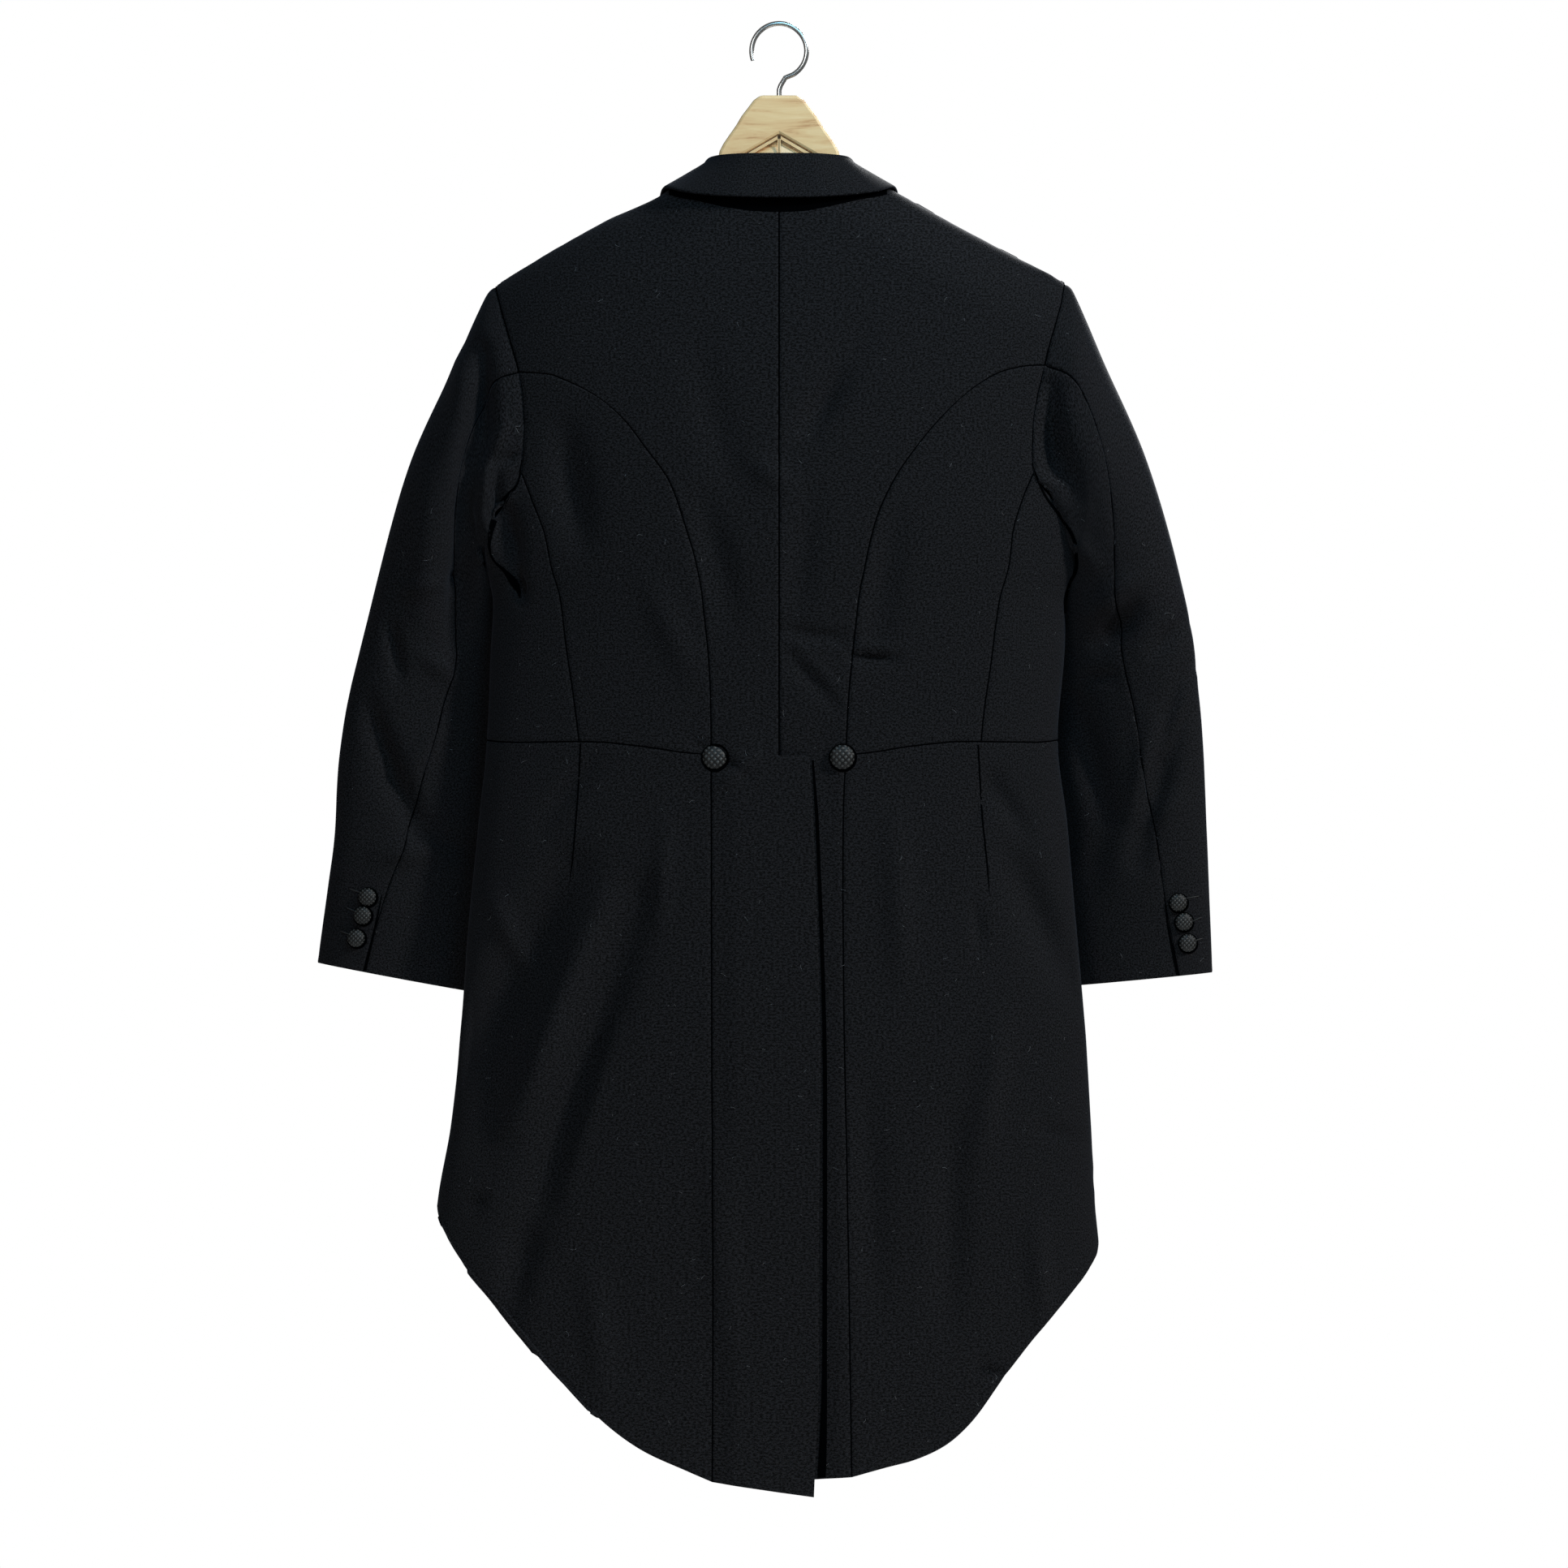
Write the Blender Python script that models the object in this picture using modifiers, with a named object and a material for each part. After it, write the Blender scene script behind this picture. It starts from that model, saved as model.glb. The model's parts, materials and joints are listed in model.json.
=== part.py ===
"""A tailored morning coat that hangs, back to the viewer, on a wooden hanger with a steel hook.

The coat's back faces -Y, its front +Y, and its left side -X. +Z is up. The origin is the
highest point inside the hook's bend, where a rail would carry it. Heights are given as
"drop", the distance below that point. Lengths in the tables are millimetres.
"""

from math import cos, pi, radians, sin

import bmesh
import bpy
import numpy as np
from mathutils import Matrix, Vector
from mathutils.bvhtree import BVHTree

MM = 0.001
WALL = 2.0 * MM             # cloth with its lining
SEAM_GAP = 0.3 * MM         # between two pieces along a seam
UNDER_SLEEVE_GAP = 1.5 * MM # trimmed off the under sleeve, whose edges turn tightly
LAP_GAP = 0.4 * MM          # between two pieces that lie on each other
LAPEL_ROLL = 0.5            # how far a lapel stands off the chest
LAPEL_TIP = 3.0             # height of its lower end
SHOULDER_ROUND = 60.0       # height over which the shoulder rounds off to full depth
SQUARENESS = 0.8            # exponent of the rings: 1 is an ellipse, less is boxier

WAIST_BUTTON = 19.5         # diameters
CUFF_BUTTON = 14.3
BUTTON_THICK = 5.0
BUTTON_REACH = 8.0 * MM     # how far round a button the cloth is felt for
FAR = 1.0                   # outside everything, in metres

HANGER_THICK = 24.0         # neck block, front to back
HANGER_ROUND = 3.0
WIRE = 4.0                  # hook
HOOK_RADIUS = 22.0

# Body rings: drop, half width to the left and right, depth to the back and front.
RING = [
    (105, 250, 250, 46, 40),
    (165, 250, 250, 56, 50),
    (210, 250, 250, 62, 56),
    (300, 249, 249, 66, 60),
    (380, 244, 245, 64, 60),
    (430, 237, 240, 60, 57),
    (462, 229, 230, 56, 54),
    (500, 231, 229, 51, 50),
    (573, 234, 223, 45, 46),
    (640, 241, 231, 43, 45),
    (720, 249, 238, 43, 43),
    (800, 255, 245, 42, 41),
    (880, 263, 250, 40, 38),
    (940, 273, 253, 38, 34),
    (985, 277, 257, 36, 32),
    (1060, 281, 262, 34, 30),
    (1180, 285, 268, 30, 28),
]

# Shoulder line: distance from the centre, drop. It goes on up, unseen, inside the neck.
SHOULDER = {
    "left": [(0, 76), (72, 121), (101, 140), (131, 153), (154, 165), (177, 178), (203, 193.7),
             (227, 208.6), (255, 226)],
    "right": [(0, 76), (72, 121), (94, 133), (126, 151.5), (166, 173), (199, 190), (216, 198),
              (229, 206.5), (255, 221)],
}
NECK_WIDTH = 72
NECK_DROP = 128             # at the centre back

# Armhole, from the shoulder down the back, under the arm and up the front:
# face (-1 back, +1 front), then distance and drop on the left side and on the right side.
ARMHOLE = [
    (-1, 226.9, 208.6, 228.8, 206.4),
    (-1, 226.8, 208.8, 228.7, 206.6),
    (-1, 226.4, 210.6, 228.3, 208.5),
    (-1, 225.4, 215.0, 227.4, 213.0),
    (-1, 223.0, 224.0, 225.6, 222.0),
    (-1, 218.7, 239.0, 221.3, 237.0),
    (-1, 213.0, 258.0, 216.0, 255.0),
    (-1, 207.0, 279.5, 211.3, 273.7),
    (-1, 203.5, 300.0, 205.5, 298.0),
    (-1, 202.6, 320.0, 202.0, 320.0),
    (-1, 203.2, 340.0, 201.4, 340.0),
    (-1, 204.8, 360.0, 202.5, 360.0),
    (-1, 213.0, 376.0, 212.0, 374.0),
    (-1, 224.0, 394.0, 226.0, 392.0),
    (-1, 231.0, 414.0, 236.5, 410.0),
    (+1, 236.0, 431.0, 239.5, 431.0),
    (+1, 230.0, 424.0, 232.0, 424.0),
    (+1, 219.0, 409.0, 220.0, 409.0),
    (+1, 205.0, 390.0, 206.0, 390.0),
    (+1, 193.0, 365.0, 194.0, 365.0),
    (+1, 187.0, 340.0, 188.0, 340.0),
    (+1, 185.0, 312.0, 186.0, 312.0),
    (+1, 188.0, 284.0, 189.0, 284.0),
    (+1, 198.0, 257.0, 199.0, 257.0),
    (+1, 210.0, 236.0, 211.0, 235.0),
    (+1, 219.5, 221.0, 221.0, 219.0),
    (+1, 225.3, 211.8, 227.2, 209.8),
    (+1, 226.8, 208.8, 228.7, 206.6),
]
AT_BACK_SEAM, AT_SIDE_SEAM, AT_CHEST, AT_FRONT_SEAM = 7, 11, 18, 19

# Seams and edges: distance from the centre, drop.
BACK_SEAM = {
    "left": [(207, 279.5), (186.6, 280.8), (167.7, 287.3), (143, 301), (121.6, 319.8), (105.3, 341.3),
             (89, 362.7), (76, 397.8), (66.3, 430.3), (59.8, 470.6), (55.9, 511), (54.2, 550), (54, 584)],
    "right": [(211.3, 273.7), (198.3, 274.3), (176.8, 279.5), (158, 290), (133.3, 311.4), (111.8, 336),
              (93, 362.7), (79.3, 390), (70.2, 425), (63, 462.8), (59.2, 497.3), (55.3, 538), (53, 584)],
}
SIDE_SEAM = {
    "left": [(204.8, 360), (191.8, 395), (180.7, 430), (172.9, 475.8), (166.4, 519), (159.3, 573.3)],
    "right": [(202.5, 360), (189.8, 392), (182, 430), (175.5, 465.4), (169, 505), (161.2, 573.3)],
}
TAIL_SEAM = {
    "left": [(54, 584), (53.4, 856), (52.6, 1000), (53.3, 1163.5)],
    "right": [(53, 584), (50.7, 656), (51.4, 774), (54.6, 940), (57.9, 1159.6)],
}
VENT_EDGE = {"left": [(-25.4, 586), (-28.6, 640), (-34.5, 854), (-34, 1064), (-29.5, 1175.2)],
             "right": [(-6, 586), (-6, 1163.5)]}
TAIL_HEM = {"left": [(0, 1171.4), (53.3, 1163.5)], "right": [(0, 1163.5), (32.5, 1162.5), (57.9, 1159.6)]}
# Waist seam from the tail seam round to the front, in quarter turns from the centre back, with its drop.
WAIST = [(0.14, 584), (0.21, 581.8), (0.32, 576.6), (0.46, 573.4), (0.7, 574), (1.0, 572), (1.3, 573),
         (1.6, 578), (1.8, 583), (2.0, 589)]
# Hem from the tail seam up to the side, then the cut-away front edge up to the waist.
HEM = {
    "left": [(53.3, 1163.5), (75.4, 1154), (108.6, 1138.8), (137, 1118.7), (164.5, 1091), (191, 1059.5),
             (215.8, 1029), (239, 1003.6), (257.4, 979), (268, 961)],
    "right": [(57.9, 1159.6), (85.2, 1152), (106, 1146.6), (130.7, 1135.6), (151.5, 1118), (180.7, 1078.4),
              (210, 1041.3), (230, 1018), (246, 998), (254, 985)],
}
# Front edge from the side, at the given drop, round to the waist.
SIDE_DROP = {"left": 944, "right": 973}
FRONT_EDGE = [(262, 915), (248, 880), (226, 835), (197, 785), (158, 735), (108, 682), (52, 630), (-12, 589)]
BREAK_LINE = [(66, 117.3), (60, 150), (52, 200), (42, 280), (31, 370), (17, 470), (-9, 574)]
LAPEL_EDGE = {"left": [(128, 236), (124, 262), (112, 320), (91, 400), (63, 480), (29, 538), (-1, 565)],
              "right": [(128, 236), (124, 262), (112, 320), (91, 400), (63, 474), (33, 520), (5, 547)]}
GORGE = [(60, 168), (92, 190), (128, 236)]

# Sleeves, from the armhole to the cuff: outer edge (distance, drop), inner edge (distance,
# drop), how far forward each edge lies, half thickness, hind seam's angle round the sleeve.
SLEEVE = {
    "left": [
        (226.9, 208.6, 236, 431, 0, 0, 44, 68),
        (231.5, 211.7, 237.5, 433.5, 0, 1, 46, 68),
        (236.5, 219.0, 239, 437, 0, 3, 49, 70),
        (262.0, 276.3, 240, 445, 1, 12, 54, 78),
        (294.5, 346.5, 237, 458, 4, 29, 55, 92),
        (318.5, 428.0, 229, 480, 8, 43, 49, 105),
        (334.0, 490.0, 220, 508, 12, 53, 42, 106),
        (347.8, 548.6, 213, 553, 16, 57, 37, 98),
        (355.0, 602.0, 212, 607, 20, 58, 34, 88),
        (358.0, 650.0, 219, 657, 23, 57, 31, 81),
        (363.0, 690.0, 230, 703, 26, 54, 29, 74),
        (371.8, 750.8, 240, 776, 30, 50, 25, 65),
    ],
    "right": [
        (228.8, 206.4, 239.5, 431, 0, 0, 44, 66),
        (233.5, 209.5, 241, 433.5, 0, 1, 46, 66),
        (238.8, 219.0, 242, 437, 0, 3, 49, 66),
        (262.0, 274.0, 242, 446, 1, 12, 53, 68),
        (292.0, 341.0, 239, 458, 4, 29, 55, 78),
        (318.5, 428.0, 228, 480, 8, 43, 49, 89),
        (332.0, 490.0, 217, 508, 12, 53, 42, 88),
        (338.5, 551.0, 209, 553, 16, 57, 37, 80),
        (342.0, 602.0, 206, 607, 20, 58, 34, 74),
        (344.5, 650.0, 214, 656, 23, 56, 32, 69),
        (346.0, 695.0, 217, 703, 26, 54, 29, 65),
        (349.0, 758.6, 222, 771, 30, 50, 25, 56),
    ],
}
FRONT_SLEEVE_SEAM = radians(-122)   # angle round the sleeve, 0 at the outer edge, 90 at the back
SLEEVE_ROWS = [0, 0.5, 1, 1.6, 2.3, 3, 3.6, 4.2, 4.8, 5.4, 6, 6.6, 7.2, 7.8, 8.4, 9, 9.6, 10.2, 10.95, 11]
ARMHOLE_BLEND = 3.0                 # rows over which the sleeve leaves the armhole's own shape

# Largest folds: face, from (x, drop) to (x, drop), width, height (less than 0 is a trough).
BODY_FOLDS = [
    (-1, -65, 263, -34, 384, 16, -3.0),
    (-1, 63, 255, 12, 346, 16, -3.0),
    (-1, -170, 330, -159, 411, 18, -3.0),
    (-1, -168, 677, -246, 826, 22, -8.0),
    (-1, -159, 735, -192, 862, 15, 3.5),
    (-1, -111, 694, -203, 973, 20, -6.0),
    (-1, -203, 973, -216, 1029, 14, -3.0),
    (-1, -222, 800, -235, 900, 14, -4.0),
    (-1, 185, 666, 231, 764, 18, -3.5),
    (-1, 138, 880, 135, 1030, 16, -2.5),
    (+1, -150, 640, -215, 860, 20, -5.0),
    (+1, 140, 650, 205, 850, 20, -4.5),
    (+1, -120, 330, -95, 470, 18, -2.5),
    (+1, 118, 320, 92, 460, 18, -2.5),
]
SLEEVE_FOLDS = [
    (-1, -243, 290, -246, 390, 14, -4.5),
    (-1, -246, 390, -256, 484, 14, -5.0),
    (-1, -291, 411, -303, 480, 12, -3.0),
    (-1, -324, 590, -276, 656, 13, -4.5),
    (-1, -276, 656, -244, 658, 12, -4.0),
    (-1, 218, 328, 236, 376, 13, -3.5),
    (-1, 256, 492, 284, 470, 12, -5.0),
    (-1, 327, 520, 287, 666, 12, -3.0),
    (-1, 239, 540, 265, 630, 12, -4.5),
    (-1, 265, 630, 250, 690, 12, -4.0),
    (+1, -262, 470, -330, 520, 13, -4.0),
    (+1, -250, 560, -330, 590, 12, -4.5),
    (+1, 258, 480, 320, 520, 13, -4.0),
    (+1, 250, 575, 318, 600, 12, -4.5),
]

# Where the panels' rows lie along their edges, as shares of length; seams share them on both sides.
SHOULDER_SHARES = [0, 0.2, 0.4, 0.6, 0.8, 0.975, 1]
ARM_SHARES = [0, 0.006, 0.02, 0.04, 0.065, 0.095, 0.13, 0.165]
CHEST_SHARES = [0, 0.003, 0.02, 0.06, 0.13, 0.23, 0.36, 0.5, 0.65, 0.82, 1]
SEAM_SHARES = [0, 0.03, 0.065, 0.1, 0.14, 0.185, 0.25, 0.33, 0.42, 0.51, 0.6, 0.69, 0.78, 0.87, 0.95, 1]
TAIL_SHARES = [0, 0.012, 0.08, 0.17, 0.27, 0.37, 0.47, 0.57, 0.67, 0.77, 0.87, 0.985, 1]
SIDE_SHARES = [0, 0.1, 0.25, 0.43, 0.62, 0.81, 1]
SEAM_TURNS = 5              # point of the back seam where it has turned downwards
CHEST_CELLS = 7
LAPEL_ROWS, LAPEL_COLUMNS = 12, 6
COLLAR_STATIONS = 13        # on each side
NARROW = 0.008              # share of a sleeve panel's width taken by the column beside a seam
SIDE_FADE = 0.16            # quarter turns over which folds die out towards the side
HEAD_SMOOTHING = 3          # passes that even out the sleeve's head
CHEST_DROP = 400.0          # the forepart's upper and lower grids meet at this drop on the break line
CENTRE_WAIST = 584.4        # drop of the waist at the centre back
FRONT_BELOW_RIDGE = 0.002   # the front's shoulder edge starts this far below the ridge

# Collar stations from the centre back to the gorge: seam (x, y, drop), fold, fall edge.
COLLAR = [
    (0, -46.5, 127, 0, -39, 104.6, 0, -62, 139.0),
    (24, -43.5, 126.6, 24, -37.5, 104.4, 28, -61, 139.2),
    (46, -33, 125.4, 43, -28, 104.6, 56, -54, 138.0),
    (60.5, -16, 121, 54, -13, 105.5, 79, -38.5, 134.0),
    (65, 0, 117, 57.5, 2, 107.5, 92.5, -9, 129.0),
    (64, 16, 122, 59.5, 17, 114, 96, 19, 134.6),
    (61.5, 33, 136, 60.5, 35, 127, 97, 41, 153),
    (58, 45.5, 152, 59, 49, 144, 96, 54.5, 172),
    (56, 50.5, 163, 57, 54.5, 157, 93, 60, 184),
]
FOLD_ROUND = 3.0            # how far the collar's fold stands over its own points

WAIST_BUTTONS = [("left", -51.4, 585.6), ("right", 50.1, 585.6)]
CUFF_BUTTONS = {"left": [(-330.2, 697.5), (-334.1, 712.4), (-339.3, 730.6)],
                "right": [(319.8, 702.0), (324.4, 717.6), (327.6, 734.5)]}
FRONT_BUTTON = (0.0, 584.0)

# Hanger: the neck block's outline from its top down one side, the top of the joint under it.
BLOCK = [(15, 56.5), (20.5, 60.5), (25, 66.5), (30, 73), (34.5, 80.6), (40, 88.4), (44.5, 95),
         (47.6, 101), (48.6, 106), (50, 112), (50, 116)]
JOINT_DROP = 87.5
# Arm sections: distance, top and bottom drop, thickness, how far forward.
ARM = [
    (0.3, 88.8, 152, 22, 0),
    (20, 100.2, 157, 23, 0),
    (40, 111.8, 163, 24, 0),
    (54, 121.2, 167, 26, 0),
    (72, 127.0, 173, 28, 0),
    (101, 145.0, 184, 30, 0),
    (131, 158.0, 194, 31, 0),
    (160, 173.4, 204, 32, 1),
    (185, 187.6, 213, 31, 1),
    (200, 198.5, 219, 26, 1),
    (205, 205.0, 217, 15, 1),
]
HOOK_FOOT = -56.2           # height of the stem's foot

SIGN = {"left": -1.0, "right": 1.0}
TURN_SCALE = np.array([250.0, 1.0])     # a quarter turn counts as this many millimetres in a line's length

WOOL = (0.0085, 0.0095, 0.0125)
WOOD = (0.80, 0.60, 0.33)
STEEL = (0.62, 0.62, 0.60)


def smooth(xs, ys, at):
    """A cubic through points with rising xs, its slopes held back so that it never overshoots."""
    xs, ys, at = (np.asarray(values, float) for values in (xs, ys, at))
    steps = np.diff(xs)
    slopes = np.diff(ys) / steps
    slope = np.zeros_like(ys)
    slope[0], slope[-1] = slopes[0], slopes[-1]
    before, after = slopes[:-1], slopes[1:]
    same_way = before * after > 0
    total = np.where(same_way, before + after, 1.0)
    slope[1:-1] = np.where(same_way, 2 * before * after / total, 0.0)
    at = np.clip(at, xs[0], xs[-1])
    i = np.clip(np.searchsorted(xs, at, side="right") - 1, 0, len(xs) - 2)
    t = (at - xs[i]) / steps[i]
    near = ys[i] * (1 + 2 * t) * (1 - t) ** 2 + slope[i] * steps[i] * t * (1 - t) ** 2
    far = ys[i + 1] * t**2 * (3 - 2 * t) - slope[i + 1] * steps[i] * t**2 * (1 - t)
    return near + far


def column(rows, index, at):
    rows = np.asarray(rows, float)
    return smooth(rows[:, 0], rows[:, index], at)


def trace(points, shares):
    """Points at the given shares of the length of a smooth line."""
    points = np.asarray(points, float)
    length = np.concatenate([[0], np.cumsum(np.linalg.norm(np.diff(points, axis=0), axis=1))])
    at = np.asarray(shares) * length[-1]
    return np.stack([smooth(length, points[:, i], at) for i in range(points.shape[1])], axis=-1)


def half_width(sign, drop):
    return np.where(np.asarray(sign) < 0, column(RING, 1, drop), column(RING, 2, drop))


def turn_of(sign, face, distance, drop):
    """Quarter turns from the centre back of a point this far from the centre, on one face."""
    share = np.clip(np.asarray(distance, float) / half_width(sign, drop), -1, 1)
    turn = np.arcsin(share) * 2 / pi
    return sign * np.where(np.asarray(face) < 0, turn, 2 - turn)


def folds_at(folds, face, x, drop):
    """Height of the folds at a place, in millimetres."""
    total = np.zeros(np.broadcast(face, x, drop).shape)
    for fold_face, x0, drop0, x1, drop1, width, height in folds:
        run = np.array([x1 - x0, drop1 - drop0], float)
        along = ((x - x0) * run[0] + (drop - drop0) * run[1]) / (run @ run)
        held = np.clip(along, 0, 1)
        away = np.hypot(x - x0 - held * run[0], drop - drop0 - held * run[1])
        taper = 0.45 + 0.55 * np.sin(pi * held)
        total += np.where(face * fold_face > 0, height * taper * np.exp(-((away / width) ** 2)), 0)
    return total


def ring_plan(turn, drop):
    """Where a ring passes, seen from above: x and y in millimetres."""
    angle = np.abs(turn) * pi / 2
    sign = np.where(turn < 0, -1.0, 1.0)
    x = sign * half_width(sign, drop) * np.sin(angle)
    depth = np.where(np.cos(angle) > 0, column(RING, 3, drop), column(RING, 4, drop))
    y = -np.sign(np.cos(angle)) * depth * np.abs(np.cos(angle)) ** SQUARENESS
    left, right = (np.asarray(SHOULDER[side]) for side in ("left", "right"))
    ridge = np.where(x < 0, smooth(left[:, 0], left[:, 1], np.abs(x)),
                     smooth(right[:, 0], right[:, 1], np.abs(x)))
    below = np.clip((drop - ridge) / SHOULDER_ROUND, 0, 1)
    return x, y * np.sqrt(1 - (1 - below) ** 2)


def body_points(turn, drop, lift=0.0):
    """Points of the coat's outer face, in metres, raised by lift millimetres and by the folds."""
    turn, drop = np.broadcast_arrays(np.asarray(turn, float), np.asarray(drop, float))
    x, y = ring_plan(turn, drop)
    step = 0.004
    ahead, behind = ring_plan(turn + step, drop), ring_plan(turn - step, drop)
    along = np.stack([ahead[0] - behind[0], ahead[1] - behind[1]], axis=-1)
    along /= np.maximum(np.linalg.norm(along, axis=-1, keepdims=True), 1e-9)
    face = np.where(np.abs(turn) < 1, -1, 1)
    inside = np.clip(np.abs(1 - np.abs(turn)) / SIDE_FADE, 0, 1)
    raised = lift + folds_at(BODY_FOLDS, face, x, drop) * inside**2 * (3 - 2 * inside)
    return np.stack([x + along[..., 1] * raised, y - along[..., 0] * raised, -drop], axis=-1) * MM


def coons(top, bottom, inner, outer):
    """A grid of (turn, drop) between four lines: top and bottom run from inner to outer."""
    columns = (lengths(top) + lengths(bottom)) / 2
    rows = (lengths(inner) + lengths(outer)) / 2
    u, v = columns[None, :, None], rows[:, None, None]
    ruled = (1 - v) * top[None] + v * bottom[None] + (1 - u) * inner[:, None] + u * outer[:, None]
    corners = ((1 - u) * (1 - v) * top[0] + u * (1 - v) * top[-1]
               + (1 - u) * v * bottom[0] + u * v * bottom[-1])
    return ruled - corners


def trace_turns(line, at):
    """trace() for a line of (turn, drop)."""
    return trace(np.asarray(line) * TURN_SCALE, at) / TURN_SCALE


def lengths(line):
    """Share of a (turn, drop) line's length at each of its points, a turn counted as 250 mm."""
    steps = np.linalg.norm(np.diff(line * TURN_SCALE, axis=0), axis=1)
    return np.concatenate([[0], np.cumsum(steps)]) / max(steps.sum(), 1e-9)


def on_body(sign, face, line):
    """A line of (distance, drop) as (turn, drop)."""
    line = np.asarray(line, float)
    return np.stack([turn_of(sign, face, line[:, 0], line[:, 1]), line[:, 1]], axis=-1)


def add_grid(mesh, points):
    """Adds a grid of points as quads."""
    rows, columns = points.shape[:2]
    made = [[mesh.verts.new(points[i, j]) for j in range(columns)] for i in range(rows)]
    for i in range(rows - 1):
        for j in range(columns - 1):
            mesh.faces.new((made[i][j], made[i + 1][j], made[i + 1][j + 1], made[i][j + 1]))


def trim_edges(mesh, gap):
    """Draws every free edge back by half a seam gap, within the cloth."""
    moves = {}
    for edge in mesh.edges:
        if len(edge.link_faces) != 1:
            continue
        face = edge.link_faces[0]
        run = (edge.verts[1].co - edge.verts[0].co).normalized()
        middle = (edge.verts[0].co + edge.verts[1].co) / 2
        inward = face.calc_center_median() - middle
        inward = (inward - inward.dot(run) * run).normalized()
        for vert in edge.verts:
            moves.setdefault(vert, []).append(inward)
    for vert, ways in moves.items():
        total = sum(ways, Vector())
        vert.co += total * (gap / 2) / max(0.35, 1 + ways[0].dot(ways[-1]) if len(ways) > 1 else 1)


def sheet(name, grids, material, parts, outward, thick=WALL, gap=SEAM_GAP):
    """One piece of cloth: its outer face from grids of points, made solid towards the inside."""
    mesh = bmesh.new()
    for points in grids:
        add_grid(mesh, points)
    bmesh.ops.remove_doubles(mesh, verts=mesh.verts, dist=0.02 * MM)
    bmesh.ops.recalc_face_normals(mesh, faces=mesh.faces)
    widest = max(mesh.faces, key=lambda face: face.calc_area())
    if widest.normal.dot(outward(widest.calc_center_median())) < 0:
        bmesh.ops.reverse_faces(mesh, faces=mesh.faces)
    trim_edges(mesh, gap)
    data = bpy.data.meshes.new(name)
    mesh.to_mesh(data)
    mesh.free()
    data.shade_smooth()
    obj = bpy.data.objects.new(name, data)
    parts.objects.link(obj)
    wall = obj.modifiers.new("wall", "SOLIDIFY")
    wall.thickness = thick
    wall.offset = -1
    data.materials.append(material)
    return obj


def from_axis(point):
    """Outwards from the coat's upright middle line."""
    return Vector((point.x, point.y, 0))


def material(name, colour, roughness, metallic=0.0):
    made = bpy.data.materials.new(name)
    made.use_nodes = True
    shader = made.node_tree.nodes["Principled BSDF"]
    shader.inputs["Base Color"].default_value = (*colour, 1)
    shader.inputs["Roughness"].default_value = roughness
    shader.inputs["Metallic"].default_value = metallic
    made.diffuse_color = (*colour, 1)
    return made


def armhole(side):
    """The armhole as (turn, drop), from the shoulder down the back and up the front again."""
    rows = np.asarray(ARMHOLE)
    first = 1 if side == "left" else 3
    sign = SIGN[side]
    drop = rows[:, first + 1].copy()
    drop[0] = ridge_drop(side, rows[0, first])
    return np.stack([turn_of(sign, rows[:, 0], rows[:, first], drop), drop], axis=-1)


def ridge_drop(side, distance):
    line = np.asarray(SHOULDER[side], float)
    return smooth(line[:, 0], line[:, 1], distance)


def shoulder_line(side, face, start=None):
    """The shoulder seam from the neck, or from nearer the middle, to the armhole, as (turn, drop)."""
    end = ARMHOLE[0][1 if side == "left" else 3]
    distance = NECK_WIDTH + (end - NECK_WIDTH) * np.array(SHOULDER_SHARES)
    if start is not None:
        distance = np.concatenate([[start], distance])
    drop = ridge_drop(side, distance) + (FRONT_BELOW_RIDGE if face > 0 else 0.0)
    return np.stack([turn_of(SIGN[side], face, distance, drop), drop], axis=-1)


def neck_line(side, count):
    """The back of the neck, from the centre to the shoulder seam."""
    share = np.insert(np.linspace(0, 1, count + 1), 1, 0.03)
    drop = NECK_DROP + (ridge_drop(side, NECK_WIDTH) - NECK_DROP) * share**2.5
    return np.stack([turn_of(SIGN[side], -1, NECK_WIDTH * share, drop), drop], axis=-1)


def back_seam(side):
    return on_body(SIGN[side], -1, trace(BACK_SEAM[side], SEAM_SHARES))


def side_seam(side):
    return on_body(SIGN[side], -1, trace(SIDE_SEAM[side], SIDE_SHARES))


def tail_seam(side):
    return on_body(SIGN[side], -1, trace(TAIL_SEAM[side], TAIL_SHARES))


def waist_line(side, start, end, count):
    """The waist seam between two points, as (turn, drop)."""
    rows = np.asarray(WAIST)
    turns = np.linspace(abs(start[0]), abs(end[0]), count)
    line = np.stack([SIGN[side] * turns, smooth(rows[:, 0], rows[:, 1], turns)], axis=-1)
    share = np.linspace(0, 1, count)[:, None]
    return line + (start - line[0]) * (1 - share) + (end - line[-1]) * share


def waist_front(side):
    distance, drop = FRONT_EDGE[-1]
    return np.array([turn_of(SIGN[side], 1, distance, drop), drop])


def vent_lift(side, place):
    """How far the tail stands out or in where the left laps the right, in millimetres."""
    x = np.abs(ring_plan(place[..., 0], place[..., 1])[0])
    below = np.clip((place[..., 1] - 520) / 64, 0, 1)
    spread = 1 + 1.3 * np.clip((place[..., 1] - 584) / 580, 0, 1)
    near = np.clip((52 - x) / 20, 0, 1)
    return (1.7 if side == "left" else -1.5) * below**2 * near * spread


def front_lift(side, place):
    """How far the fronts stand out or in where the left laps the right, in millimetres."""
    x = SIGN[side] * ring_plan(place[..., 0], place[..., 1])[0]
    near = np.clip((48 - x) / 30, 0, 1) * (np.abs(place[..., 0]) > 1)
    low = np.clip((place[..., 1] - 450) / 80, 0, 1)
    return (3.6 if side == "left" else -2.2) * near * low


def with_sewn_edges(count):
    """Even shares from 0 to 1, with a narrow one at each end."""
    even = np.linspace(0, 1, count - 2)
    return np.concatenate([[0, NARROW], even[1:-1], [1 - NARROW, 1]])


def placed(grid, lift=0.0):
    return body_points(grid[..., 0], grid[..., 1], lift)


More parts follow.
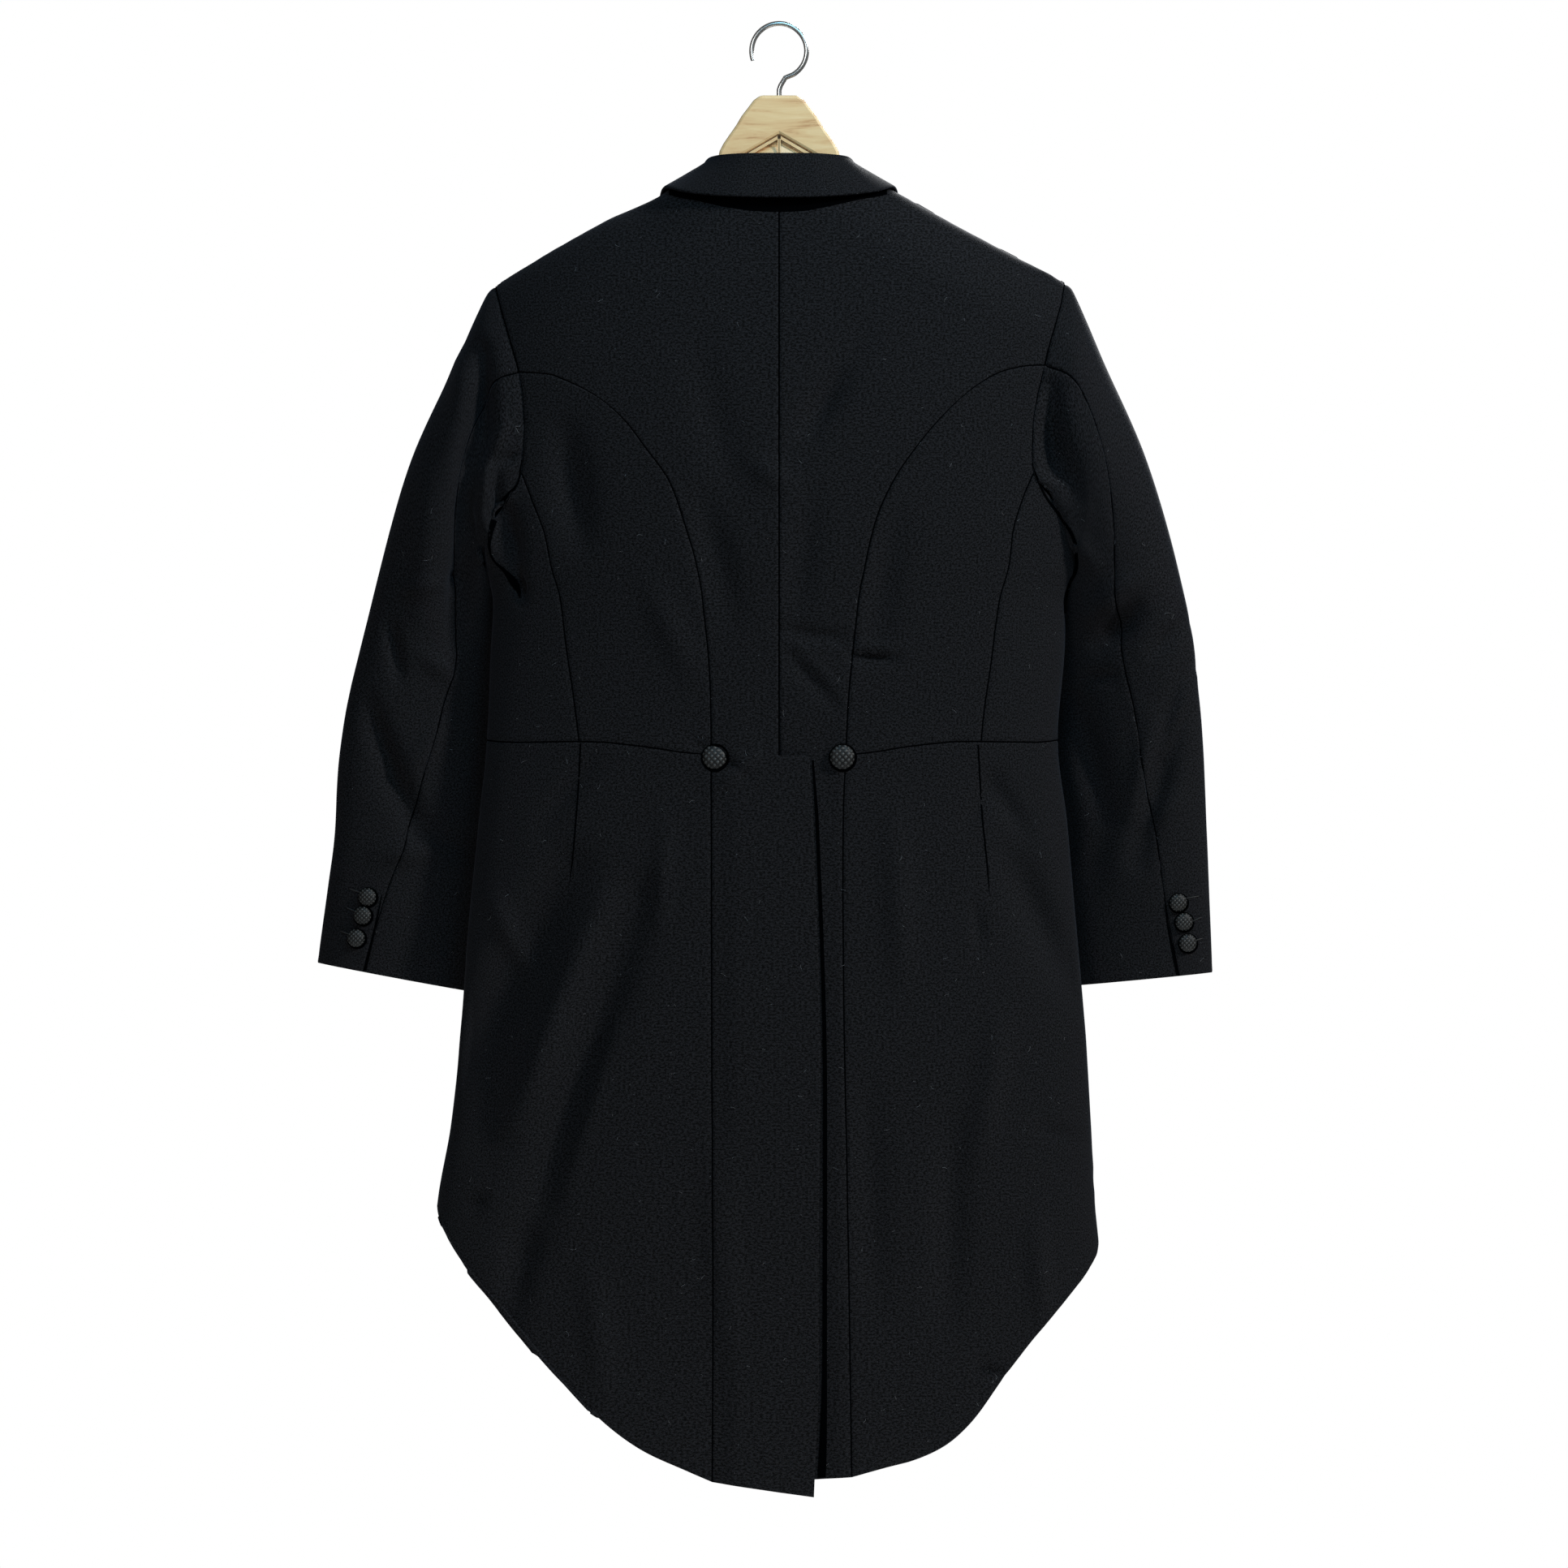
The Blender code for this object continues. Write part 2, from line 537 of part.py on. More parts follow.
def back(side, wool, parts):
    """Neck to hem in one piece; below the waist the left one has a strip that laps the right."""
    top = np.concatenate([neck_line(side, 2), shoulder_line(side, -1)[1:]])
    outer = np.concatenate([armhole(side)[:AT_BACK_SEAM + 1], back_seam(side)[1:]])
    down = np.concatenate([ARM_SHARES, np.linspace(ARM_SHARES[-1], 1, len(outer) - AT_BACK_SEAM)[1:]])
    inner = np.stack([np.zeros(len(outer)), NECK_DROP + (CENTRE_WAIST - NECK_DROP) * down], axis=-1)
    across = lengths(top)[:, None]
    waist = np.array([0, CENTRE_WAIST])
    upper = coons(top, waist + (outer[-1] - waist) * across, inner, outer)

    seam = tail_seam(side)
    centre = np.stack([np.zeros(len(seam)),
                       CENTRE_WAIST + (TAIL_HEM[side][0][1] - CENTRE_WAIST) * lengths(seam)], axis=-1)
    edge = trace(VENT_EDGE[side], lengths(seam))
    edge = np.stack([turn_of(SIGN[side], -1, edge[:, 0], edge[:, 1]), edge[:, 1]], axis=-1)
    edge[0, 1] = centre[0, 1]
    tail = centre[:, None] + (seam - centre)[:, None] * across[None]
    reach = np.array([0, 0.5, 0.93, 1])[:, None]
    strip = centre[:, None] + (edge - centre)[:, None] * reach[None]
    grids = [placed(grid, vent_lift(side, grid)) for grid in (upper, tail, strip)]
    return sheet(f"back_{side}", grids, wool, parts, from_axis)


def side_body(side, wool, parts):
    """Between the curved back seam and the side seam, from the armhole to the waist."""
    seam = back_seam(side)
    top = seam[:SEAM_TURNS + 1][::-1]
    inner = seam[SEAM_TURNS:]
    outer = np.concatenate([armhole(side)[AT_BACK_SEAM:AT_SIDE_SEAM + 1], side_seam(side)[1:]])
    bottom = waist_line(side, inner[-1], outer[-1], len(top))
    grid = coons(top, bottom, inner, outer)
    return sheet(f"side_body_{side}", [placed(grid)], wool, parts, from_axis)


def chest_line(side):
    """Across the chest from the armhole to the lapel's break line."""
    start = armhole(side)[AT_CHEST]
    end = break_line(side, CHEST_DROP, CHEST_DROP, [1])[0]
    return start + (end - start) * np.linspace(0, 1, CHEST_CELLS + 1)[:, None]


def break_line(side, start, until, shares):
    """The lapel's break line between two drops, as (turn, drop)."""
    line = np.asarray(BREAK_LINE, float)
    drop = start + (until - start) * np.asarray(shares)
    return on_body(SIGN[side], 1, np.stack([smooth(line[:, 1], line[:, 0], drop), drop], axis=-1))


def forepart(side, wool, parts):
    """From the side seam round under the arm to the front, and up the chest to the shoulder."""
    arm = armhole(side)
    chest = chest_line(side)
    front = np.concatenate([break_line(side, chest[-1, 1], BREAK_LINE[-1][1], np.linspace(0, 1, 6)),
                            [waist_front(side)]])
    top = np.concatenate([arm[AT_SIDE_SEAM:AT_CHEST + 1], chest[1:]])
    inner = side_seam(side)
    bottom = waist_line(side, inner[-1], front[-1], len(top))
    lower = coons(top, bottom, inner, front)

    shoulder = shoulder_line(side, 1, BREAK_LINE[0][0])[::-1]
    arm_front = np.concatenate([shoulder[:1], arm[:AT_CHEST - 1:-1]])
    front = break_line(side, shoulder[-1, 1], chest[-1, 1], CHEST_SHARES)
    upper = coons(shoulder, chest, arm_front, front)
    grids = [placed(grid, front_lift(side, grid)) for grid in (lower, upper)]
    return sheet(f"forepart_{side}", grids, wool, parts, from_axis)


def skirt(side, wool, parts):
    """From the tail seam round the side, cut away to the waist at the front."""
    sign = SIGN[side]
    inner = tail_seam(side)
    at_side_seam = side_seam(side)[-1]
    arm_cells = AT_CHEST - AT_SIDE_SEAM + CHEST_CELLS
    top = np.concatenate([waist_line(side, inner[0], at_side_seam, SEAM_TURNS + 1),
                          waist_line(side, at_side_seam, waist_front(side), arm_cells + 1)[1:]])
    corner = np.array([[sign, SIDE_DROP[side]]])
    hem = np.concatenate([on_body(sign, -1, HEM[side]), corner])
    edge = np.concatenate([corner, on_body(sign, 1, FRONT_EDGE)])[::-1]
    bottom = trace_turns(hem, lengths(top) ** 1.15)
    outer = trace_turns(edge, np.linspace(0, 1, len(inner)))
    grid = coons(top, bottom, inner, outer)
    return sheet(f"skirt_{side}", [placed(grid, front_lift(side, grid))], wool, parts, from_axis)


def lapel(side, wool, parts):
    """Folded out along the break line, lying on the forepart."""
    line = np.asarray(BREAK_LINE, float)
    edge = trace(LAPEL_EDGE[side], np.linspace(0, 1, LAPEL_ROWS))
    drop = np.linspace(GORGE[0][1], edge[-1, 1] - LAPEL_TIP, LAPEL_ROWS)
    inner = np.stack([smooth(line[:, 1], line[:, 0], drop), drop], axis=-1)
    across = np.linspace(0, 1, LAPEL_COLUMNS)
    top = trace(GORGE, across)
    bottom = inner[-1] + (edge[-1] - inner[-1]) * across[:, None]
    flat = [on_body(SIGN[side], 1, rows) for rows in (top, bottom, inner, edge)]
    flat[0][0], flat[0][-1] = flat[2][0], flat[3][0]
    grid = coons(*flat)
    lift = front_lift(side, grid) + (WALL + LAP_GAP) / MM + LAPEL_ROLL
    return sheet(f"lapel_{side}", [placed(grid, lift)], wool, parts, from_axis)


def collar(wool, parts):
    """Stand and fall in one band, folded over at the neck, round to both gorges."""
    half = trace(COLLAR, np.linspace(0, 1, COLLAR_STATIONS))
    mirrored = half[:0:-1] * ([-1, 1, 1] * 3)
    stations = np.concatenate([mirrored, half])
    seam, fold, edge = (stations[:, i:i + 3] * [1, 1, -1] for i in (0, 3, 6))
    out = (edge - seam) * [1, 1, 0]
    out /= np.linalg.norm(out, axis=1, keepdims=True)
    drop_away = np.array([0, 0, -2.4])
    inside, outside = fold - FOLD_ROUND * out + drop_away, fold + FOLD_ROUND * out + drop_away
    section = [seam, seam + (inside - seam) * 0.55, inside, fold - 1.4 * out - [0, 0, 0.5],
               fold + 1.4 * out - [0, 0, 0.5], outside, outside + (edge - outside) * 0.33,
               outside + (edge - outside) * 0.67, edge]
    grid = np.stack(section, axis=1) * MM
    return sheet("collar", [grid], wool, parts, from_axis)


def sleeve_frame(side, row):
    """Middle, half width, half thickness and hind seam of the sleeve at a row of its table."""
    rows = np.asarray(SLEEVE[side], float)
    values = [smooth(np.arange(len(rows)), rows[:, i], row) for i in range(rows.shape[1])]
    outer_x, outer_drop, inner_x, inner_drop, outer_y, inner_y, thick, hind = values
    sign = SIGN[side]
    outer = np.stack([sign * outer_x, outer_y, -outer_drop], axis=-1)
    inner = np.stack([sign * inner_x, inner_y, -inner_drop], axis=-1)
    return (outer + inner) / 2, (outer - inner) / 2, thick, np.radians(hind)


def sleeve_point(frame, angle):
    middle, half, thick, _ = frame
    across = half * np.cos(angle)[..., None]
    return middle + across - np.stack([0 * angle, thick * np.sin(angle), 0 * angle], axis=-1)


def sleeve_tube(side):
    """Rows of points round the whole sleeve, in metres, and the column of its hind seam.

    Each row starts and ends at the front seam and passes over the top first."""
    hole = placed(armhole(side)) / MM
    start = sleeve_frame(side, 0.0)
    middle, half, thick, _ = start
    reach = hole - middle
    angle = np.unwrap(np.arctan2(-reach[:, 1] / thick, reach @ half / (half @ half)))
    angle -= 2 * pi * round(angle[0] / (2 * pi))
    order = np.arange(AT_FRONT_SEAM - len(hole), AT_FRONT_SEAM + 1)
    spread = np.where(order < 0, angle[order] - 2 * pi, angle[order])
    off = (hole - sleeve_point(start, angle))[order]
    split = AT_BACK_SEAM - AT_FRONT_SEAM + len(hole)
    over, under = with_sewn_edges(split + 1), with_sewn_edges(len(order) - split)
    tube = []
    for row in SLEEVE_ROWS:
        frame = sleeve_frame(side, row)
        ease = np.clip(row / ARMHOLE_BLEND, 0, 1)
        ease = ease * ease * (3 - 2 * ease)
        hind = frame[3]
        even = np.concatenate([FRONT_SLEEVE_SEAM + (hind - FRONT_SLEEVE_SEAM) * over,
                               hind + (FRONT_SLEEVE_SEAM + 2 * pi - hind) * under[1:]])
        around = spread * (1 - ease) + even * ease
        points = sleeve_point(frame, around) + off * (1 - ease)
        face = -np.sign(np.sin(around))
        fold = folds_at(SLEEVE_FOLDS, face, points[:, 0], -points[:, 2]) * ease
        points[:, 1] += fold * face * np.abs(np.sin(around))
        tube.append(points)
    tube = np.array(tube)
    tube[:, -1] = tube[:, 0]
    near_head = np.clip(1 - np.array(SLEEVE_ROWS) / ARMHOLE_BLEND, 0, 1)[:, None, None]
    near_head[:3] = 0
    for _ in range(HEAD_SMOOTHING):
        ring = np.concatenate([tube[:, -2:-1], tube, tube[:, 1:2]], axis=1)
        mean = (ring[:, :-2] + ring[:, 2:]) / 2
        mean[1:-1] = (mean[1:-1] + (tube[:-2] + tube[2:]) / 2) / 2
        tube = tube + (mean - tube) * near_head * 0.6
    return tube * MM, split


def sleeve(side, wool, parts):
    """Top sleeve over the outer edge and under sleeve along the inner one."""
    def outward(point):
        row = np.linspace(0, len(SLEEVE[side]) - 1, 60)
        middles = sleeve_frame(side, row)[0] * MM
        nearest = middles[np.argmin(np.abs(middles[:, 2] - point.z))]
        return Vector((point.x - nearest[0], point.y - nearest[1], 0))

    tube, split = sleeve_tube(side)
    top, low = tube[:, :split + 1], tube[:, split:]
    return (sheet(f"top_sleeve_{side}", [top], wool, parts, outward),
            sheet(f"under_sleeve_{side}", [low], wool, parts, outward, gap=UNDER_SLEEVE_GAP))


def button(name, diameter, place, outward, wool, parts):
    """A domed, covered button: its profile turned about its axis, sewn on with its back to the cloth."""
    radius, thick = diameter / 2 * MM, BUTTON_THICK * MM
    profile = [(0, thick), (0.45, thick * 0.93), (0.78, thick * 0.74), (0.97, thick * 0.45),
               (1.0, thick * 0.25), (0.88, 0.04 * thick), (0, 0)]
    data = bpy.data.meshes.new(name)
    verts = [(share * radius, 0, height) for share, height in profile]
    data.from_pydata(verts, [(i, i + 1) for i in range(len(verts) - 1)], [])
    obj = bpy.data.objects.new(name, data)
    parts.objects.link(obj)
    turned = obj.modifiers.new("turned", "SCREW")
    turned.axis = "Z"
    turned.steps = turned.render_steps = 16
    turned.use_merge_vertices = True
    turned.merge_threshold = 0.00001
    turned.use_smooth_shade = True
    obj.rotation_mode = "QUATERNION"
    obj.rotation_quaternion = outward.to_track_quat("Z", "Y")
    obj.location = place
    data.materials.append(wool)


def sew_button(name, diameter, x, drop, face, cloth, wool, parts):
    """A button on the cloth seen from one face, moved out until its back clears it all round."""
    tree = BVHTree.FromPolygons(*cloth)
    start = Vector((x * MM, face * FAR, -drop * MM))
    place, outward = tree.ray_cast(start, Vector((0, -face, 0)))[:2]
    if outward.y * face < 0:
        outward = -outward
    across = outward.orthogonal().normalized()
    most = 0.0
    for turn in np.linspace(0, 2 * pi, 12, endpoint=False):
        spoke = Matrix.Rotation(turn, 3, outward) @ across * (diameter / 2 * MM)
        hit = tree.ray_cast(place + spoke + outward * BUTTON_REACH, -outward, 2 * BUTTON_REACH)[0]
        if hit is not None:
            most = max(most, (hit - place).dot(outward))
    button(name, diameter, place + outward * (most + LAP_GAP), outward, wool, parts)


def outer_faces(*sheets):
    """The outer faces of pieces of cloth, as one list of points and one of polygons."""
    points, polygons = [], []
    for obj in sheets:
        first = len(points)
        points += [vert.co.copy() for vert in obj.data.vertices]
        polygons += [[first + index for index in polygon.vertices] for polygon in obj.data.polygons]
    return points, polygons


def hanger(wood, steel, parts):
    """A neck block over two shoulder arms, which meet under it on the middle line, and a hook."""
    points = [(-x, drop) for x, drop in BLOCK[::-1]] + BLOCK + [(0, JOINT_DROP)]
    mesh = bmesh.new()
    mesh.faces.new([mesh.verts.new((x * MM, 0, -drop * MM)) for x, drop in points])
    data = bpy.data.meshes.new("hanger_neck")
    mesh.to_mesh(data)
    mesh.free()
    block = bpy.data.objects.new("hanger_neck", data)
    slab = block.modifiers.new("slab", "SOLIDIFY")
    slab.thickness = HANGER_THICK * MM
    slab.offset = 0
    rounded = block.modifiers.new("rounded", "BEVEL")
    rounded.width = HANGER_ROUND * MM
    rounded.segments = 2
    data.materials.append(wood)
    parts.objects.link(block)
    for side in ("left", "right"):
        arm(side, wood, parts)
    hook(steel, parts)


def arm(side, wood, parts):
    """One shoulder arm, a loft from the joint on the middle line out to its rounded end."""
    mesh = bmesh.new()
    rings = []
    for distance, top, bottom, thick, forward in ARM:
        half_high, half_thick = (bottom - top) / 2, thick / 2
        ring = []
        for angle in np.linspace(0, 2 * pi, 16, endpoint=False):
            y = np.sign(cos(angle)) * abs(cos(angle)) ** 0.75 * half_thick + forward
            z = np.sign(sin(angle)) * abs(sin(angle)) ** 0.75 * half_high - (top + bottom) / 2
            ring.append(mesh.verts.new((SIGN[side] * distance * MM, y * MM, z * MM)))
        rings.append(ring)
    for near, far in zip(rings, rings[1:]):
        for i in range(len(near)):
            j = (i + 1) % len(near)
            mesh.faces.new((near[i], near[j], far[j], far[i]))
    mesh.faces.new(rings[0])
    mesh.faces.new(rings[-1])
    bmesh.ops.recalc_face_normals(mesh, faces=mesh.faces)
    data = bpy.data.meshes.new(f"hanger_arm_{side}")
    mesh.to_mesh(data)
    mesh.free()
    data.shade_smooth()
    data.materials.append(wood)
    obj = bpy.data.objects.new(f"hanger_arm_{side}", data)
    parts.objects.link(obj)


def hook(steel, parts):
    """A straight stem that bends over into most of a circle, open to the left."""
    centre = -(HOOK_RADIUS - WIRE / 2)
    points = [(0, HOOK_FOOT), (0, HOOK_FOOT + 5), (1.2, HOOK_FOOT + 8.5), (5, centre - 21.4)]
    points += [(HOOK_RADIUS * cos(radians(a)), centre + HOOK_RADIUS * sin(radians(a)))
               for a in range(-60, 201, 15)]
    data = bpy.data.curves.new("hanger_hook", "CURVE")
    data.dimensions = "3D"
    data.bevel_depth = WIRE / 2 * MM
    data.bevel_resolution = 2
    data.use_fill_caps = True
    spline = data.splines.new("POLY")
    spline.points.add(len(points) - 1)
    for point, (x, z) in zip(spline.points, points):
        point.co = (x * MM, 0, z * MM, 1)
    data.materials.append(steel)
    parts.objects.link(bpy.data.objects.new("hanger_hook", data))


def main():
    for obj in list(bpy.data.objects):
        bpy.data.objects.remove(obj, do_unlink=True)
    parts = bpy.data.collections.new("morning_coat")
    bpy.context.scene.collection.children.link(parts)
    wool = material("black_wool", WOOL, 0.85)
    body = []
    for side in ("left", "right"):
        body += [back(side, wool, parts), side_body(side, wool, parts), forepart(side, wool, parts),
                 skirt(side, wool, parts)]
        lapel(side, wool, parts)
        sleeves = outer_faces(*sleeve(side, wool, parts))
        for number, (x, drop) in enumerate(CUFF_BUTTONS[side], 1):
            sew_button(f"cuff_button_{side}_{number}", CUFF_BUTTON, x, drop, -1, sleeves, wool, parts)
    cloth = outer_faces(*body)
    for side, x, drop in WAIST_BUTTONS:
        sew_button(f"waist_button_{side}", WAIST_BUTTON, x, drop, -1, cloth, wool, parts)
    sew_button("front_button", WAIST_BUTTON, *FRONT_BUTTON, 1, cloth, wool, parts)
    collar(wool, parts)
    hanger(material("pale_wood", WOOD, 0.45), material("bright_steel", STEEL, 0.25, 1.0), parts)


main()
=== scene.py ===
"""Looks of a black wool morning coat that hangs, back to the viewer, on a pale wooden hanger.

The coat's outer faces are worked out from the same named sizes as its solids, on finer grids,
with more folds, sewn edges, covered buttons and buttonholes. Tables are in millimetres, and
"drop" is the distance below the hook's bearing point.
"""

import json
from math import cos, pi, radians, sin

import bmesh
import bpy
import numpy as np
from mathutils import Matrix, Vector
from mathutils.bvhtree import BVHTree

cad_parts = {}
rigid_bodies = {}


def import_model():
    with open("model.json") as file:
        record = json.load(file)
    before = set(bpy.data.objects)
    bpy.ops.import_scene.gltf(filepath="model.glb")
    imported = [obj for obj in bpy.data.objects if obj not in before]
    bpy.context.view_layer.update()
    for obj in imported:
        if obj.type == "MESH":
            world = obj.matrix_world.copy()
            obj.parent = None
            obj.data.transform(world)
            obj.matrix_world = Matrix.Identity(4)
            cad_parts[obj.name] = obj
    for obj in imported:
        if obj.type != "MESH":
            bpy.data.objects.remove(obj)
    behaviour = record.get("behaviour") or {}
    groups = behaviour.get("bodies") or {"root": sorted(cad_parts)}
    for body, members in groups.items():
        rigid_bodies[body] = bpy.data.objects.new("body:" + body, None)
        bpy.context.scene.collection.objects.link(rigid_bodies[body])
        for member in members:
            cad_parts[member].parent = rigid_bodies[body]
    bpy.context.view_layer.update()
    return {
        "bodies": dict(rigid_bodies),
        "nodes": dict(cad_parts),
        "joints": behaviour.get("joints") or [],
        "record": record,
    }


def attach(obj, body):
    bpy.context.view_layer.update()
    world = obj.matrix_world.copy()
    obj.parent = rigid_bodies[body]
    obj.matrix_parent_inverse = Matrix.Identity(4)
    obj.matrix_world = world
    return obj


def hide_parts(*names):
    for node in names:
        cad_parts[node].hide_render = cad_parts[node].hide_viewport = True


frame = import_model()

MM = 0.001


def table(text):
    """Rows of numbers from plain text, with a semicolon between rows."""
    return [tuple(map(float, row.split())) for row in text.split(";")]


WALL = 2.0 * MM             # cloth with its lining
LAP_GAP = 0.4 * MM          # between two pieces that lie on each other
LAPEL_ROLL = 0.5            # how far a lapel stands off the chest
LAPEL_TIP = 3.0             # height of its lower end
SHOULDER_ROUND = 60.0       # height over which the shoulder rounds off to full depth
SQUARENESS = 0.8            # exponent of the rings: 1 is an ellipse, less is boxier

WAIST_BUTTON = 19.5         # buttons, across
CUFF_BUTTON = 14.3
WIRE = 4.0                  # hook's wire, across
HOOK_RADIUS = 22.0

# Body rings: drop, half width to the left and right, depth to the back and front.
RING = table("""
    105 250 250 46 40; 165 250 250 56 50; 210 250 250 62 56; 300 249 249 66 60; 380 244 245 64 60; 430 237
    240 60 57; 462 229 230 56 54; 500 231 229 51 50; 573 234 223 45 46; 640 241 231 43 45; 720 249 238 43
    43; 800 255 245 42 41; 880 263 250 40 38; 940 273 253 38 34; 985 277 257 36 32; 1060 281 262 34 30;
    1180 285 268 30 28""")

# Shoulder line: distance from the centre, drop. It goes on up, unseen, inside the neck.
SHOULDER = {
    "left": table("""0 76; 72 121; 101 140; 131 153; 154 165; 177 178; 203 193.7; 227 208.6; 255 226"""),
    "right": table("""0 76; 72 121; 94 133; 126 151.5; 166 173; 199 190; 216 198; 229 206.5; 255 221"""),
}
NECK_WIDTH = 72
NECK_DROP = 128             # at the centre back
NECK_CURVE = 2.5            # exponent of its rise from there to the shoulder

# Armhole, from the shoulder down the back, under the arm and up the front:
# face (-1 back, +1 front), then distance and drop on the left side and on the right side.
ARMHOLE = table("""
    -1 226.9 208.6 228.8 206.4; -1 226.8 208.8 228.7 206.6; -1 226.4 210.6 228.3 208.5; -1 225.4 215 227.4
    213; -1 223 224 225.6 222; -1 218.7 239 221.3 237; -1 213 258 216 255; -1 207 279.5 211.3 273.7; -1
    203.5 300 205.5 298; -1 202.6 320 202 320; -1 203.2 340 201.4 340; -1 204.8 360 202.5 360; -1 213 376
    212 374; -1 224 394 226 392; -1 231 414 236.5 410; 1 236 431 239.5 431; 1 230 424 232 424; 1 219 409
    220 409; 1 205 390 206 390; 1 193 365 194 365; 1 187 340 188 340; 1 185 312 186 312; 1 188 284 189
    284; 1 198 257 199 257; 1 210 236 211 235; 1 219.5 221 221 219; 1 225.3 211.8 227.2 209.8; 1 226.8
    208.8 228.7 206.6""")
AT_BACK_SEAM, AT_SIDE_SEAM, AT_CHEST, AT_FRONT_SEAM = 7, 11, 18, 19

# Seams and edges: distance from the centre, drop.
BACK_SEAM = {
    "left": table("""
        207 279.5; 186.6 280.8; 167.7 287.3; 143 301; 121.6 319.8; 105.3 341.3; 89 362.7; 76 397.8; 66.3
        430.3; 59.8 470.6; 55.9 511; 54.2 550; 54 584"""),
    "right": table("""
        211.3 273.7; 198.3 274.3; 176.8 279.5; 158 290; 133.3 311.4; 111.8 336; 93 362.7; 79.3 390; 70.2
        425; 63 462.8; 59.2 497.3; 55.3 538; 53 584"""),
}
SIDE_SEAM = {
    "left": table("""204.8 360; 191.8 395; 180.7 430; 172.9 475.8; 166.4 519; 159.3 573.3"""),
    "right": table("""202.5 360; 189.8 392; 182 430; 175.5 465.4; 169 505; 161.2 573.3"""),
}
TAIL_SEAM = {
    "left": table("""54 584; 53.4 856; 52.6 1000; 53.3 1163.5"""),
    "right": table("""53 584; 50.7 656; 51.4 774; 54.6 940; 57.9 1159.6"""),
}
VENT_EDGE = {
    "left": table("""-25.4 586; -28.6 640; -34.5 854; -34 1064; -29.5 1175.2"""),
    "right": table("""-6 586; -6 1163.5"""),
}
TAIL_HEM = {
    "left": table("""0 1171.4; 53.3 1163.5"""),
    "right": table("""0 1163.5; 32.5 1162.5; 57.9 1159.6"""),
}
# Waist seam from the tail seam round to the front, in quarter turns from the centre back, with its drop.
WAIST = table("""
    0.14 584; 0.21 581.8; 0.32 576.6; 0.46 573.4; 0.7 574; 1 572; 1.3 573; 1.6 578; 1.8 583; 2 589""")
# Hem from the tail seam up to the side, then the cut-away front edge up to the waist.
HEM = {
    "left": table("""
        53.3 1163.5; 75.4 1154; 108.6 1138.8; 137 1118.7; 164.5 1091; 191 1059.5; 215.8 1029; 239 1003.6;
        257.4 979; 268 961"""),
    "right": table("""
        57.9 1159.6; 85.2 1152; 106 1146.6; 130.7 1135.6; 151.5 1118; 180.7 1078.4; 210 1041.3; 230 1018;
        246 998; 254 985"""),
}
HEM_POINTS = 120
HEM_CROWDING = 1.15         # more than 1 sets the grid's columns closer together near the tail seam
# Front edge from the side, at the given drop, round to the waist.
SIDE_DROP = {"left": 944, "right": 973}
FRONT_EDGE = table("""
    262 915; 248 880; 226 835; 197 785; 158 735; 108 682; 52 630; -12 589""")
BREAK_LINE = table("""
    66 117.3; 60 150; 52 200; 42 280; 31 370; 17 470; -9 574""")
LAPEL_EDGE = {
    "left": table("""128 236; 124 262; 112 320; 91 400; 63 480; 29 538; -1 565"""),
    "right": table("""128 236; 124 262; 112 320; 91 400; 63 474; 33 520; 5 547"""),
}
GORGE = [(60, 168), (92, 190), (128, 236)]

# Sleeves, from the armhole to the cuff: outer edge (distance, drop), inner edge (distance,
# drop), how far forward each edge lies, half thickness, hind seam's angle round the sleeve.
SLEEVE = {
    "left": table("""
        226.9 208.6 236 431 0 0 44 68; 231.5 211.7 237.5 433.5 0 1 46 68; 236.5 219 239 437 0 3 49 70; 262
        276.3 235 443 1 12 54 78; 294.5 346.5 223 457 4 29 55 92; 318.5 428 217 480 8 43 49 105; 334 490
        214 508 12 53 42 106; 347.8 548.6 213 553 16 57 37 98; 355 602 212 607 20 58 34 88; 358 650 219
        657 23 57 31 81; 363 690 230 703 26 54 29 74; 371.8 750.8 240 776 30 50 25 65"""),
    "right": table("""
        228.8 206.4 239.5 431 0 0 44 66; 233.5 209.5 241 433.5 0 1 46 66; 238.8 219 242 437 0 3 49 66; 262
        274 237 444 1 12 53 68; 292 341 225 457 4 29 55 78; 318.5 428 216 480 8 43 49 89; 332 490 211 508
        12 53 42 88; 338.5 551 209 553 16 57 37 80; 342 602 206 607 20 58 34 74; 344.5 650 214 656 23 56
        32 69; 346 695 217 703 26 54 29 65; 349 758.6 222 771 30 50 25 56"""),
}
FRONT_SLEEVE_SEAM = radians(-122)   # angle round the sleeve, 0 at the outer edge, 90 at the back
SLEEVE_ROWS = [0, 0.5, 1, 1.6, 2.3, 3, 3.6, 4.2, 4.8, 5.4, 6, 6.6, 7.2, 7.8, 8.4, 9, 9.6, 10.2, 10.95, 11]
SMOOTH_ROUNDS = 12                  # how often the rows near the armhole are evened out
CROWDING = 0.35                     # share by which a sleeve's columns draw in towards its seams
ARMHOLE_BLEND = 3.0                 # rows over which the sleeve leaves the armhole's own shape

